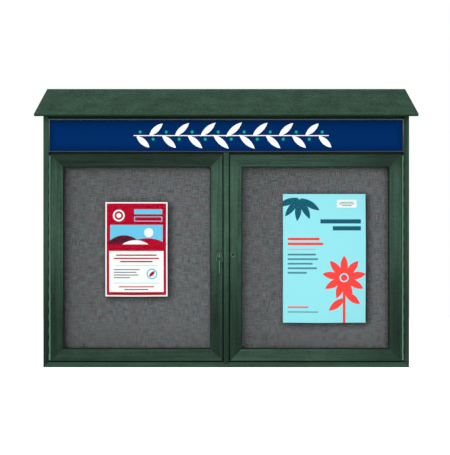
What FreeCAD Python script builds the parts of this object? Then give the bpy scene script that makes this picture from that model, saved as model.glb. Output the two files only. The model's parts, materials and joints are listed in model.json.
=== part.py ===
import FreeCAD, Part
import math
import os

# A two-door, lockable, wall-hung outdoor notice board of recycled-plastic lumber.
# Millimetres. X runs to the right, the doors face -Y and Z is up.
# The origin is the centre of the four wall holes, in the plane of the wall.

V = FreeCAD.Vector
UP = V(0, 0, 1)
DOWN = V(0, 0, -1)
LEFT = V(-1, 0, 0)
RIGHT = V(1, 0, 0)
FORWARD = V(0, -1, 0)
BACKWARD = V(0, 1, 0)

# Case
CASE_WIDTH = 1320.8
CASE_DEPTH = 102.0
BOARD = 19.05
BACK_THICK = 12.7
HEADER_BOARD_THICK = 12.7
DOOR_OPENING_HEIGHT = 752.1
OUTER_ROUND = 2.5
INNER_CHAMFER_FACE = 6.0
INNER_CHAMFER_DEPTH = 4.0

# Wall holes, in the back panel
WALL_HOLE_SPACING_X = 812.8
WALL_HOLE_SPACING_Z = 609.6
WALL_HOLE_R = 4.0
LOWER_WALL_HOLE_UP = 95.2

# Roof
ROOF_THICK = 9.5
ROOF_SLOPE = 38.1
ROOF_FRONT_OVERHANG = 57.0
ROOF_SIDE_OVERHANG = 15.6
EAVE_TOP_UP = 903.4
EAVE_ROUND = 2.0
CLEAT_DEPTH = 19.0
CLEAT_DROP = 25.0

# Doors
DOOR_THICK = 19.05
DOOR_FACE = 41.0
DOOR_RIM = 5.0
DOOR_DISH = 7.0
DOOR_LIP = 5.0
DOOR_REBATE = 10.0
DOOR_ARRIS = 1.2
DOOR_GAP = 4.5
MITRE_GAP = 0.1
PANE_THICK = 3.0
PANE_PLAY = 1.0
GASKET_THICK = 1.0
GASKET_SHOWS = 3.0
GASKET_BEAD = 2.5
BEAD_SHOWS = 2.0

# Mullion, stops and seals
MULLION_WIDTH = 19.0
MULLION_STOP_WIDTH = 50.0
MULLION_TOP_LAP = 4.0
STOP_DEPTH = 19.0
STOP_LAP = 12.0
SEAL_THICK = 3.0
SEAL_WIDTH = 8.0
SEAL_GAP = 0.3

# Piano hinges
LEAF_THICK = 1.5
LEAF_WIDTH = 14.0
KNUCKLE_R = 3.6
KNUCKLE_BITE = 0.425
KNUCKLE_LENGTH = 25.4
KNUCKLE_PLAY = 0.3
LEAF_NOTCH = 0.4
PIN_R = 1.25
PIN_FIT = 0.05
HINGE_END_GAP = 2.0
HINGE_SCREW_COUNT = 7
JAMB_HINGE_SCREW = 12.0
DOOR_HINGE_SCREW = 14.0

# Corner braces on the backs of the doors
BRACE_THICK = 1.5
BRACE_WIDTH = 14.0
BRACE_LEG = 62.0
BRACE_INSET = 13.0
BRACE_FIT = 0.2
BRACE_SCREW = 8.0
BRACE_SCREW_INSET = 9.0

# Locks
LOCK_UP = 406.7
LOCK_FROM_CENTRE = 24.5
LOCK_FLANGE_R = 8.5
LOCK_FLANGE_THICK = 2.0
LOCK_DOME = 1.0
LOCK_SEAT_DEPTH = 3.4
LOCK_FLANGE_FIT = 0.2
LOCK_BARREL_R = 7.0
LOCK_BARREL_FIT = 0.1
LOCK_BARREL_PAST_DOOR = 7.75
LOCK_NUT_FLATS = 19.0
LOCK_NUT_THICK = 5.0
PLUG_R = 5.0
PLUG_HEAD_R = 6.0
PLUG_HEAD_THICK = 1.45
PLUG_FIT = 0.05
PLUG_PAST_BARREL = 0.8
PLUG_SQUARE = 5.6
PLUG_THREAD_R = 2.0
PLUG_THREAD_SPARE = 1.0
CAM_THICK = 2.0
CAM_WIDTH = 13.0
CAM_REACH = 22.0
CAM_FIT = 0.1
CAM_CLEAR = 0.5
CAM_NUT_FLATS = 8.0
CAM_NUT_THICK = 3.5
STRIKE_THICK = 1.5
STRIKE_WIDTH = 23.0
STRIKE_HEIGHT = 40.0
STRIKE_SCREW = 14.0
STRIKE_SCREW_INSET = 6.0
LOCK_WEB_THICK = 3.5
LOCK_WEB_WIDTH = 24.0
LOCK_POCKET_HEIGHT = 60.0

# Keys and ring
KEY_THICK = 2.0
KEY_BLADE_HEIGHT = 7.4
KEY_BLADE_LENGTH = 22.0
KEY_TIP = 2.0
KEY_SLOT_FIT = 0.3
KEY_SHOULDER_GAP = 0.5
KEY_NECK = 1.9
KEY_NECK_HEIGHT = 9.0
KEY_BOW_R = 10.5
KEY_HOLE_R = 3.0
KEY_HOLE_OUT = 4.5
KEY_CUT_DEPTHS = (1.3, 2.2, 0.9, 1.8)
KEY_CUT_PITCH = 4.2
KEY_CUT_FLAT = 1.4
RING_R = 10.8
RING_WIRE_R = 0.9
RING_SEAT_GAP = 0.3

# Header sign
SIGN_HEIGHT = 118.8
SIGN_ABOVE_DOOR_TOP = 11.0
SIGN_FRAME_SETBACK = 3.0
SIGN_WALL = 1.5
SIGN_LIP = 3.0
SIGN_REAR_LIP = 8.0
SIGN_FLANGE = 12.0
SIGN_PANEL_THICK = 3.0
SIGN_FIT = 0.3
SIGN_FACE_FIT = 0.1
SIGN_SIDE_GAP = 0.4
SIGN_SCREW = 12.0
SIGN_SCREW_COUNT = 6
SIGN_SCREW_INSET = 50.0

# Tackboards and posters
PAD_THICK = 2.5
PAD_SIZE = 50.0
PAD_INSET = 60.0
TACKBOARD_THICK = 9.5
TACKBOARD_PLAY = 2.0
FABRIC_THICK = 1.0
POSTER_THICK = 0.3
LEFT_POSTER_X = -334.9
LEFT_POSTER_UP = 423.6
LEFT_POSTER_WIDTH = 232.0
LEFT_POSTER_HEIGHT = 352.0
RIGHT_POSTER_X = 366.0
RIGHT_POSTER_UP = 389.7
RIGHT_POSTER_WIDTH = 308.0
RIGHT_POSTER_HEIGHT = 480.0
STAPLE_WIDTH = 10.0
STAPLE_WIRE = 0.6
STAPLE_LEG = 6.0
STAPLE_INSET = 9.0
STAPLE_FIT = 0.05

# Screws: a shank radius, and a countersunk head's radius and depth
CASE_SCREW = {"shank": 2.4, "head": 4.6, "depth": 3.0}
SMALL_SCREW = {"shank": 1.4, "head": 2.8, "depth": 1.5}
SCREW_FIT = 0.1
SOCKET_SHARE = 0.7
JOINERY_SCREW = 38.0
STOP_SCREW = 30.0
CLEAT_SCREW = 28.0
ROOF_SCREW = 39.0
SCREW_END = 45.0

# How far a cutting shape reaches past what it cuts
PAST = 5.0

# Places worked out from the sizes above
HALF_WIDTH = CASE_WIDTH / 2
INNER_X = HALF_WIDTH - BOARD
FRONT_Y = -CASE_DEPTH
BOTTOM_Z = -LOWER_WALL_HOLE_UP - WALL_HOLE_SPACING_Z / 2
OPENING_BOTTOM = BOTTOM_Z + BOARD
OPENING_TOP = OPENING_BOTTOM + DOOR_OPENING_HEIGHT
DIVIDER_TOP = OPENING_TOP + BOARD

SLOPE = math.radians(ROOF_SLOPE)
EAVE_Y = FRONT_Y - ROOF_FRONT_OVERHANG
EAVE_TOP_Z = BOTTOM_Z + EAVE_TOP_UP
ROOF_HALF_WIDTH = HALF_WIDTH + ROOF_SIDE_OVERHANG
RIDGE_Z = EAVE_TOP_Z - EAVE_Y * math.tan(SLOPE)

HINGE_SIDE_GAP = 2 * (KNUCKLE_R + LEAF_THICK - KNUCKLE_BITE)
DOOR_BOTTOM = OPENING_BOTTOM + DOOR_GAP
DOOR_TOP = OPENING_TOP - DOOR_GAP
DOOR_OUTER_X = INNER_X - HINGE_SIDE_GAP
DOOR_INNER_X = MULLION_WIDTH / 2 + DOOR_GAP
DOOR_BACK = FRONT_Y + DOOR_THICK
LIP_FRONT = FRONT_Y + DOOR_DISH
LIP_BACK = LIP_FRONT + DOOR_LIP
PANE_FRONT = LIP_BACK + GASKET_THICK
PANE_BACK = PANE_FRONT + PANE_THICK
REBATE_U = DOOR_FACE - DOOR_REBATE

STOP_FRONT = DOOR_BACK + SEAL_GAP + SEAL_THICK
STOP_BACK = STOP_FRONT + STOP_DEPTH
STOP_MIDDLE = (STOP_FRONT + STOP_BACK) / 2
STOP_EDGE_X = DOOR_OUTER_X - STOP_LAP
MULLION_STOP_X = MULLION_STOP_WIDTH / 2
HEADER_FRONT = STOP_FRONT
HEADER_BACK = HEADER_FRONT + HEADER_BOARD_THICK
BACK_FRONT = -BACK_THICK
REAR_CLEAT_Y = BACK_FRONT - CLEAT_DEPTH

HINGE_X = INNER_X - HINGE_SIDE_GAP / 2
HINGE_Y = FRONT_Y + KNUCKLE_R
HINGE_BOTTOM = DOOR_BOTTOM + HINGE_END_GAP
HINGE_TOP = DOOR_TOP - HINGE_END_GAP
LEAF_FRONT = HINGE_Y + KNUCKLE_R + LEAF_NOTCH
LEAF_BACK = HINGE_Y + LEAF_WIDTH
LEAF_MIDDLE = (LEAF_FRONT + LEAF_BACK) / 2

LOCK_Z = BOTTOM_Z + LOCK_UP
LOCK_SEAT = FRONT_Y + LOCK_SEAT_DEPTH
LOCK_FACE = LOCK_SEAT - LOCK_FLANGE_THICK - LOCK_DOME
BARREL_END = DOOR_BACK + LOCK_BARREL_PAST_DOOR
PLUG_END = BARREL_END + PLUG_PAST_BARREL
STRIKE_FRONT = STOP_FRONT + LOCK_WEB_THICK
STRIKE_BACK = STRIKE_FRONT + STRIKE_THICK
CAM_FRONT = max(STRIKE_BACK + CAM_CLEAR, PLUG_END)
CAM_BACK = CAM_FRONT + CAM_THICK
LOCK_POCKET_BOTTOM = LOCK_Z - LOCK_POCKET_HEIGHT / 2
LOCK_POCKET_TOP = LOCK_Z + LOCK_POCKET_HEIGHT / 2

KEY_SHOULDER_Y = LOCK_FACE - KEY_SHOULDER_GAP
KEY_HOLE_Y = KEY_SHOULDER_Y - KEY_NECK - KEY_BOW_R - KEY_HOLE_OUT
RING_DROP = KEY_HOLE_R - RING_WIRE_R - RING_SEAT_GAP
RING_TOP_Z = LOCK_Z - RING_DROP
RING_Z = RING_TOP_Z - RING_R
RING_BOTTOM_Z = RING_Z - RING_R
SPARE_HOLE_Z = RING_BOTTOM_Z - RING_DROP

SIGN_BOTTOM = DOOR_TOP + SIGN_ABOVE_DOOR_TOP
SIGN_TOP = SIGN_BOTTOM + SIGN_HEIGHT
SIGN_FRONT = FRONT_Y + SIGN_FRAME_SETBACK
SIGN_PANEL_FRONT = SIGN_FRONT + SIGN_WALL + SIGN_FACE_FIT
SIGN_PANEL_BACK = SIGN_PANEL_FRONT + SIGN_PANEL_THICK
SIGN_HALF_WIDTH = INNER_X - SIGN_SIDE_GAP

CORE_BACK = BACK_FRONT - PAD_THICK
CORE_FRONT = CORE_BACK - TACKBOARD_THICK
FABRIC_FRONT = CORE_FRONT - FABRIC_THICK
POSTER_FRONT = FABRIC_FRONT - POSTER_THICK
TACK_BOTTOM = OPENING_BOTTOM + TACKBOARD_PLAY
TACK_TOP = OPENING_TOP - TACKBOARD_PLAY
TACK_OUTER_X = INNER_X - TACKBOARD_PLAY
TACK_INNER_X = TACKBOARD_PLAY / 2


def under_roof_z(y):
    """Height of the roof slab's underside at a depth y."""
    return RIDGE_Z + y * math.tan(SLOPE) - ROOF_THICK / math.cos(SLOPE)


def box(x0, x1, y0, y1, z0, z1):
    low = V(min(x0, x1), min(y0, y1), min(z0, z1))
    return Part.makeBox(abs(x1 - x0), abs(y1 - y0), abs(z1 - z0), low)


def prism(outline, along):
    """A closed outline, carried along a vector. ("arc", point) is a point that an arc passes through."""
    edges = []
    count = len(outline)
    i = 0
    while i < count:
        start = outline[i]
        after = outline[(i + 1) % count]
        if isinstance(after, tuple):
            edges.append(Part.Arc(start, after[1], outline[(i + 2) % count]).toShape())
            i += 2
        else:
            edges.append(Part.LineSegment(start, after).toShape())
            i += 1
    return Part.Face(Part.Wire(edges)).extrude(along)


def rounded(corner, before, after, radius):
    """The outline points that round a square corner between two neighbours."""
    towards_before = (before - corner).normalize()
    towards_after = (after - corner).normalize()
    centre = corner + (towards_before + towards_after) * radius
    middle = centre + (corner - centre).normalize() * radius
    return [corner + towards_before * radius, ("arc", middle), corner + towards_after * radius]


def placed(outline, place):
    """An outline with each of its points sent through place(point)."""
    return [("arc", place(p[1])) if isinstance(p, tuple) else place(p) for p in outline]


def both(shape):
    """The same piece for the right-hand side, as a mirror image in the middle plane."""
    return shape.mirror(V(0, 0, 0), RIGHT)


def spread(low, high, count, inset):
    """Evenly spaced places, the end ones `inset` from low and high."""
    step = (high - low - 2 * inset) / (count - 1)
    return [low + inset + step * k for k in range(count)]


def screw(kind, point, direction, length):
    return {"kind": kind, "point": point, "direction": direction, "length": length}


def screw_body(item, grow):
    kind, point, direction = item["kind"], item["point"], item["direction"]
    shank_r = kind["shank"] + grow
    head = Part.makeCone(kind["head"] + grow, shank_r, kind["depth"], point, direction)
    shank = Part.makeCylinder(shank_r, item["length"] + grow, point, direction)
    return head.fuse(shank)


def screw_solid(item):
    """A countersunk screw with a square drive socket."""
    kind = item["kind"]
    side = 2 * kind["shank"] * SOCKET_SHARE
    socket = Part.makeBox(side, side, kind["depth"], V(-side / 2, -side / 2, 0))
    turn = FreeCAD.Rotation(UP, item["direction"])
    socket.Placement = FreeCAD.Placement(item["point"], turn)
    return screw_body(item, 0).cut(socket)


def drilled(shape, screws):
    """A board with the hole of each screw that reaches it."""
    near = shape.BoundBox
    holes = [screw_body(s, SCREW_FIT) for s in screws]
    holes = [h for h in holes if near.intersect(h.BoundBox)]
    return shape.cut(holes) if holes else shape


def group(shapes):
    return Part.makeCompound(shapes)


def hexagon(flats, y0, y1, x, z, bore):
    """A nut about an axis along Y, with two flats square to X."""
    corner = flats / math.sqrt(3)
    angles = [math.radians(30 + 60 * k) for k in range(6)]
    outline = [V(x + corner * math.cos(a), y0, z + corner * math.sin(a)) for a in angles]
    return prism(outline, V(0, y1 - y0, 0)).cut(rod(bore, y0, y1, x, z))


def rod(radius, y0, y1, x, z):
    """A cylinder about an axis along Y."""
    return Part.makeCylinder(radius, y1 - y0, V(x, y0, z), BACKWARD)


def below_roof(shape):
    """A board with its top cut to the slope of the roof's underside."""
    front, back, high = EAVE_Y - PAST, PAST, RIDGE_Z + CASE_DEPTH
    outline = [
        V(-HALF_WIDTH - PAST, front, under_roof_z(front)),
        V(-HALF_WIDTH - PAST, back, under_roof_z(back)),
        V(-HALF_WIDTH - PAST, back, high),
        V(-HALF_WIDTH - PAST, front, high),
    ]
    return shape.cut(prism(outline, V(CASE_WIDTH + 2 * PAST, 0, 0)))


def mitre_wedges(corner_x, corner_z, side_x, side_z, width, gap):
    """What an upright and a level member lose at a mitred corner. side_x and side_z point inwards."""

    def at(a, b):
        return V(corner_x + side_x * a, FRONT_Y - PAST, corner_z + side_z * b)

    low, high = -PAST, width + PAST
    along = V(0, CASE_DEPTH + 2 * PAST, 0)
    upright = prism([at(low, low + gap), at(high, high + gap), at(high, 2 * low)], along)
    level = prism([at(low + gap, low), at(high + gap, high), at(2 * low, high)], along)
    return upright, level


def mitred_frame(profile, x0, x1, z0, z1, width, gap):
    """Four mitred members round a rectangle. The profile's x is the distance in from the outer edge."""
    uprights = {
        x0: prism(placed(profile, lambda p: V(x0 + p.x, p.y, z0)), V(0, 0, z1 - z0)),
        x1: prism(placed(profile, lambda p: V(x1 - p.x, p.y, z0)), V(0, 0, z1 - z0)),
    }
    levels = {
        z0: prism(placed(profile, lambda p: V(x0, p.y, z0 + p.x)), V(x1 - x0, 0, 0)),
        z1: prism(placed(profile, lambda p: V(x0, p.y, z1 - p.x)), V(x1 - x0, 0, 0)),
    }
    for x, side_x in ((x0, 1), (x1, -1)):
        for z, side_z in ((z0, 1), (z1, -1)):
            upright, level = mitre_wedges(x, z, side_x, side_z, width, gap)
            uprights[x] = uprights[x].cut(upright)
            levels[z] = levels[z].cut(level)
    return uprights[x0], uprights[x1], levels[z0], levels[z1]


# Screws that hold the case together

def side_board_screws():
    """Through the left side board, into the back panel, divider, header board and bottom board."""
    places = [(-BACK_THICK / 2, z) for z in spread(BOTTOM_Z, SIGN_TOP, 5, 60.0)]
    places += [(y, (OPENING_TOP + DIVIDER_TOP) / 2) for y in spread(HEADER_FRONT, BACK_FRONT, 2, 18.0)]
    places += [((HEADER_FRONT + HEADER_BACK) / 2, z) for z in spread(DIVIDER_TOP, SIGN_TOP, 2, 25.0)]
    places += [(y, BOTTOM_Z + BOARD / 2) for y in spread(FRONT_Y, 0, 2, 25.0)]
    return [screw(CASE_SCREW, V(-HALF_WIDTH, y, z), RIGHT, JOINERY_SCREW) for y, z in places]


def middle_screws():
    """Along the bottom board, and through the mullion and its stop."""
    places = [(x, -BACK_THICK / 2) for x in spread(-INNER_X, INNER_X, 5, 110.0)]
    places += [(0, (FRONT_Y + STOP_FRONT) / 2), (0, STOP_MIDDLE)]
    screws = [screw(CASE_SCREW, V(x, y, BOTTOM_Z), UP, JOINERY_SCREW) for x, y in places]
    screws.append(screw(CASE_SCREW, V(0, STOP_MIDDLE, DIVIDER_TOP), DOWN, JOINERY_SCREW))
    for low, high in ((OPENING_BOTTOM, LOCK_POCKET_BOTTOM), (LOCK_POCKET_TOP, OPENING_TOP)):
        for z in spread(low, high, 2, 60.0):
            screws.append(screw(CASE_SCREW, V(0, STOP_BACK, z), FORWARD, STOP_SCREW))
    return screws


def left_stop_screws():
    """Through the left jamb stop, head stop and sill stop."""
    jamb = spread(OPENING_BOTTOM, OPENING_TOP, 4, SCREW_END)
    level = spread(-STOP_EDGE_X, -MULLION_STOP_X, 3, SCREW_END)
    screws = [screw(CASE_SCREW, V(-STOP_EDGE_X, STOP_MIDDLE, z), LEFT, STOP_SCREW) for z in jamb]
    for x in level:
        screws.append(screw(CASE_SCREW, V(x, STOP_MIDDLE, DOOR_TOP - STOP_LAP), UP, STOP_SCREW))
        screws.append(screw(CASE_SCREW, V(x, STOP_MIDDLE, DOOR_BOTTOM + STOP_LAP), DOWN, STOP_SCREW))
    return screws


def cleat_screws():
    """Level ones into the boards beside the cleats, and upright ones into the roof slab."""
    screws = []
    front_low = under_roof_z(HEADER_BACK) - CLEAT_DROP
    rear_low = under_roof_z(REAR_CLEAT_Y) - CLEAT_DROP
    for x in spread(-INNER_X, INNER_X, 5, 2 * SCREW_END):
        front = V(x, HEADER_BACK + CLEAT_DEPTH, front_low + CLEAT_DROP / 2)
        rear = V(x, REAR_CLEAT_Y, rear_low + CLEAT_DROP / 2)
        screws.append(screw(CASE_SCREW, front, FORWARD, CLEAT_SCREW))
        screws.append(screw(CASE_SCREW, rear, BACKWARD, CLEAT_SCREW))
    for x in spread(-INNER_X, INNER_X, 6, SCREW_END):
        front = V(x, HEADER_BACK + CLEAT_DEPTH / 2, front_low)
        rear = V(x, REAR_CLEAT_Y + CLEAT_DEPTH / 2, rear_low)
        screws.append(screw(CASE_SCREW, front, UP, ROOF_SCREW))
        screws.append(screw(CASE_SCREW, rear, UP, ROOF_SCREW))
    return screws


def mirrored_screws(screws):
    """The same screws on the right-hand side."""
    out = []
    for s in screws:
        p, d = s["point"], s["direction"]
        out.append(screw(s["kind"], V(-p.x, p.y, p.z), V(-d.x, d.y, d.z), s["length"]))
    return out


def all_case_screws():
    left = side_board_screws() + left_stop_screws()
    return left + mirrored_screws(left) + middle_screws() + cleat_screws()


def left_jamb_hinge_screws():
    x = -INNER_X + LEAF_THICK
    heights = spread(HINGE_BOTTOM, HINGE_TOP, HINGE_SCREW_COUNT, SCREW_END)
    return [screw(SMALL_SCREW, V(x, LEAF_MIDDLE, z), LEFT, JAMB_HINGE_SCREW) for z in heights]


def sign_screws():
    y = HEADER_FRONT - SIGN_WALL
    in_flange = (SIGN_WALL + SIGN_FLANGE) / 2
    screws = []
    for x in spread(-SIGN_HALF_WIDTH, SIGN_HALF_WIDTH, SIGN_SCREW_COUNT, SIGN_SCREW_INSET):
        for z in (SIGN_BOTTOM + in_flange, SIGN_TOP - in_flange):
            screws.append(screw(SMALL_SCREW, V(x, y, z), BACKWARD, SIGN_SCREW))
    return screws


def strike_screws():
    reach = STRIKE_HEIGHT / 2 - STRIKE_SCREW_INSET
    places = (LOCK_Z - reach, LOCK_Z + reach)
    return [screw(SMALL_SCREW, V(0, STRIKE_BACK, z), FORWARD, STRIKE_SCREW) for z in places]


def all_small_case_screws():
    left = left_jamb_hinge_screws()
    return left + mirrored_screws(left) + sign_screws() + strike_screws()


# Case

def left_side_board(screws):
    back, front = V(-HALF_WIDTH, 0, BOTTOM_Z), V(-HALF_WIDTH, FRONT_Y, BOTTOM_Z)
    chamfer_out = V(-INNER_X - INNER_CHAMFER_FACE, FRONT_Y, BOTTOM_Z)
    chamfer_in = V(-INNER_X, FRONT_Y + INNER_CHAMFER_DEPTH, BOTTOM_Z)
    outline = [back]
    outline += rounded(front, back, chamfer_out, OUTER_ROUND)
    outline += [chamfer_out, chamfer_in, V(-INNER_X, 0, BOTTOM_Z)]
    board = below_roof(prism(outline, V(0, 0, RIDGE_Z - BOTTOM_Z)))
    upright, level = mitre_wedges(-HALF_WIDTH, BOTTOM_Z, 1, 1, BOARD, 0)
    return drilled(board.cut(upright), screws)


def bottom_board(screws):
    back, front = V(-HALF_WIDTH, 0, BOTTOM_Z), V(-HALF_WIDTH, FRONT_Y, BOTTOM_Z)
    chamfer_out = V(-HALF_WIDTH, FRONT_Y, OPENING_BOTTOM - INNER_CHAMFER_FACE)
    chamfer_in = V(-HALF_WIDTH, FRONT_Y + INNER_CHAMFER_DEPTH, OPENING_BOTTOM)
    outline = [back]
    outline += rounded(front, back, chamfer_out, OUTER_ROUND)
    outline += [chamfer_out, chamfer_in, V(-HALF_WIDTH, 0, OPENING_BOTTOM)]
    board = prism(outline, V(CASE_WIDTH, 0, 0))
    for side in (-1, 1):
        upright, level = mitre_wedges(side * HALF_WIDTH, BOTTOM_Z, -side, 1, BOARD, 0)
        board = board.cut(level)
    return drilled(board, screws)


def back_panel(screws):
    panel = below_roof(box(-INNER_X, INNER_X, BACK_FRONT, 0, OPENING_BOTTOM, RIDGE_Z))
    for side_x in (-1, 1):
        for side_z in (-1, 1):
            x, z = side_x * WALL_HOLE_SPACING_X / 2, side_z * WALL_HOLE_SPACING_Z / 2
            panel = panel.cut(rod(WALL_HOLE_R, BACK_FRONT - PAST, PAST, x, z))
    return drilled(panel, screws)


def header_divider(screws):
    board = box(-INNER_X, INNER_X, HEADER_FRONT, BACK_FRONT, OPENING_TOP, DIVIDER_TOP)
    return drilled(board, screws)


def header_board(screws):
    board = box(-INNER_X, INNER_X, HEADER_FRONT, HEADER_BACK, DIVIDER_TOP, RIDGE_Z)
    return drilled(below_roof(board), screws)


def roof_slab(screws):
    x = -ROOF_HALF_WIDTH
    down_slope = V(0, -math.cos(SLOPE), -math.sin(SLOPE))
    inwards = V(0, math.sin(SLOPE), -math.cos(SLOPE))
    eave_top = V(x, EAVE_Y, EAVE_TOP_Z)
    eave_bottom = eave_top + inwards * ROOF_THICK
    outline = [V(x, 0, under_roof_z(0)), V(x, 0, RIDGE_Z)]
    outline += rounded(eave_top, eave_top - down_slope, eave_bottom, EAVE_ROUND)
    outline += rounded(eave_bottom, eave_top, eave_bottom - down_slope, EAVE_ROUND)
    return drilled(prism(outline, V(2 * ROOF_HALF_WIDTH, 0, 0)), screws)


def roof_cleats(screws):
    cleats = []
    for y in (HEADER_BACK, REAR_CLEAT_Y):
        low = under_roof_z(y) - CLEAT_DROP
        cleat = below_roof(box(-INNER_X, INNER_X, y, y + CLEAT_DEPTH, low, RIDGE_Z))
        cleats.append(drilled(cleat, screws))
    return group(cleats)


def mullion(plain_bottom_board, screws):
    half = MULLION_WIDTH / 2
    low = OPENING_BOTTOM - INNER_CHAMFER_FACE
    left, right = V(-half, FRONT_Y, low), V(half, FRONT_Y, low)
    outline = [V(half, STOP_FRONT, low), V(-half, STOP_FRONT, low)]
    outline += rounded(left, outline[-1], right, DOOR_ARRIS)
    outline += rounded(right, left, outline[0], DOOR_ARRIS)
    strip = prism(outline, V(0, 0, OPENING_TOP + MULLION_TOP_LAP - low))
    return drilled(strip.cut(plain_bottom_board), screws)


def mullion_stop(screws):
    """The post behind the mullion, with a pocket that the two cams turn in."""
    half = MULLION_STOP_X
    post = box(-half, half, STOP_FRONT, STOP_BACK, OPENING_BOTTOM, OPENING_TOP)
    low, high = LOCK_POCKET_BOTTOM, LOCK_POCKET_TOP
    pocket = box(-half - PAST, half + PAST, STRIKE_FRONT, STOP_BACK + PAST, low, high)
    notches = []
    for side in (-1, 1):
        edge, past = side * LOCK_WEB_WIDTH / 2, side * (half + PAST)
        notches.append(box(edge, past, STOP_FRONT - PAST, STOP_BACK + PAST, low, high))
    return drilled(post.cut([pocket] + notches), screws)


def door_stops(screws):
    head, sill = DOOR_TOP - STOP_LAP, DOOR_BOTTOM + STOP_LAP
    left = [
        box(-INNER_X, -STOP_EDGE_X, STOP_FRONT, STOP_BACK, OPENING_BOTTOM, OPENING_TOP),
        box(-STOP_EDGE_X, -MULLION_STOP_X, STOP_FRONT, STOP_BACK, head, OPENING_TOP),
        box(-STOP_EDGE_X, -MULLION_STOP_X, STOP_FRONT, STOP_BACK, OPENING_BOTTOM, sill),
    ]
    return group([drilled(s, screws) for s in left + [both(s) for s in left]])


def seal_strip(start, across, length):
    """A rounded foam strip on a stop. start is the middle of its foot; the rest are vectors."""
    half = across * (SEAL_WIDTH / 2)
    peak = start + V(0, -SEAL_THICK, 0)
    return prism([start - half, ("arc", peak), start + half], length)


def door_seals():
    inset = STOP_LAP / 2
    jamb_x = -DOOR_OUTER_X + inset
    mullion_x = -(MULLION_STOP_X + DOOR_INNER_X) / 2
    low, high = DOOR_BOTTOM + inset, DOOR_TOP - inset
    level = V(mullion_x - jamb_x - SEAL_WIDTH, 0, 0)
    left = [seal_strip(V(jamb_x, STOP_FRONT, low - inset), RIGHT, V(0, 0, high - low + 2 * inset))]
    for z in (low, high):
        left.append(seal_strip(V(jamb_x + SEAL_WIDTH / 2, STOP_FRONT, z), UP, level))
    for z0, z1 in ((low - inset, LOCK_POCKET_BOTTOM), (LOCK_POCKET_TOP, high + inset)):
        left.append(seal_strip(V(mullion_x, STOP_FRONT, z0), RIGHT, V(0, 0, z1 - z0)))
    return group(left + [both(s) for s in left])


def strike_plate(screws):
    half_x, half_z = STRIKE_WIDTH / 2, STRIKE_HEIGHT / 2
    plate = box(-half_x, half_x, STRIKE_FRONT, STRIKE_BACK, LOCK_Z - half_z, LOCK_Z + half_z)
    return drilled(plate, screws)


# Header sign

def sign_frame(screws):
    rear = SIGN_PANEL_BACK + SIGN_FACE_FIT
    points = [
        (0, SIGN_FRONT),
        (SIGN_LIP, SIGN_FRONT),
        (SIGN_LIP, SIGN_FRONT + SIGN_WALL),
        (SIGN_WALL, SIGN_FRONT + SIGN_WALL),
        (SIGN_WALL, rear),
        (SIGN_REAR_LIP, rear),
        (SIGN_REAR_LIP, rear + SIGN_WALL),
        (SIGN_WALL, rear + SIGN_WALL),
        (SIGN_WALL, HEADER_FRONT - SIGN_WALL),
        (SIGN_FLANGE, HEADER_FRONT - SIGN_WALL),
        (SIGN_FLANGE, HEADER_FRONT),
        (0, HEADER_FRONT),
    ]
    profile = [V(u, y, 0) for u, y in points]
    reach = SIGN_HALF_WIDTH
    bars = mitred_frame(profile, -reach, reach, SIGN_BOTTOM, SIGN_TOP, SIGN_FLANGE, 0)
    return group([drilled(bar, screws) for bar in bars])


def sign_panel():
    edge = SIGN_WALL + SIGN_FIT
    reach = SIGN_HALF_WIDTH - edge
    return box(-reach, reach, SIGN_PANEL_FRONT, SIGN_PANEL_BACK, SIGN_BOTTOM + edge, SIGN_TOP - edge)


# Hinges

def hinge_leaf(plate_x0, plate_x1, first):
    """A leaf of the left hinge. first is 0 for the leaf that owns the end knuckles, and 1 for the other."""
    length = HINGE_TOP - HINGE_BOTTOM
    count = 2 * round(length / KNUCKLE_LENGTH / 2) + 1
    pitch = length / count
    tall = pitch - KNUCKLE_PLAY
    leaf = box(plate_x0, plate_x1, LEAF_FRONT, LEAF_BACK, HINGE_BOTTOM, HINGE_TOP)
    far_x = min(plate_x0, plate_x1) if first == 0 else max(plate_x0, plate_x1)
    knuckles = []
    for k in range(first, count, 2):
        z = HINGE_BOTTOM + k * pitch + KNUCKLE_PLAY / 2
        knuckles.append(Part.makeCylinder(KNUCKLE_R, tall, V(-HINGE_X, HINGE_Y, z)))
        knuckles.append(box(plate_x0, plate_x1, HINGE_Y, LEAF_FRONT, z, z + tall))
        knuckles.append(box(-HINGE_X, far_x, HINGE_Y, HINGE_Y + LEAF_THICK, z, z + tall))
    bore = Part.makeCylinder(PIN_R + PIN_FIT, length, V(-HINGE_X, HINGE_Y, HINGE_BOTTOM))
    return leaf.fuse(knuckles).cut(bore).removeSplitter()


def left_jamb_leaf(screws):
    return drilled(hinge_leaf(-INNER_X, -INNER_X + LEAF_THICK, 0), screws)


def left_hinge_leaf(screws):
    return drilled(hinge_leaf(-DOOR_OUTER_X - LEAF_THICK, -DOOR_OUTER_X, 1), screws)


def left_hinge_pin():
    length = HINGE_TOP - HINGE_BOTTOM
    return Part.makeCylinder(PIN_R, length, V(-HINGE_X, HINGE_Y, HINGE_BOTTOM))


# Doors: each function makes the left door's piece

DOOR_CORNERS = [
    (-DOOR_OUTER_X, DOOR_BOTTOM, 1, 1),
    (-DOOR_OUTER_X, DOOR_TOP, 1, -1),
    (-DOOR_INNER_X, DOOR_BOTTOM, -1, 1),
    (-DOOR_INNER_X, DOOR_TOP, -1, -1),
]


def door_area(inset, y0, y1):
    """A block as large as the left door, less `inset` all round."""
    x0, x1 = -DOOR_OUTER_X + inset, -DOOR_INNER_X - inset
    return box(x0, x1, y0, y1, DOOR_BOTTOM + inset, DOOR_TOP - inset)


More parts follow.
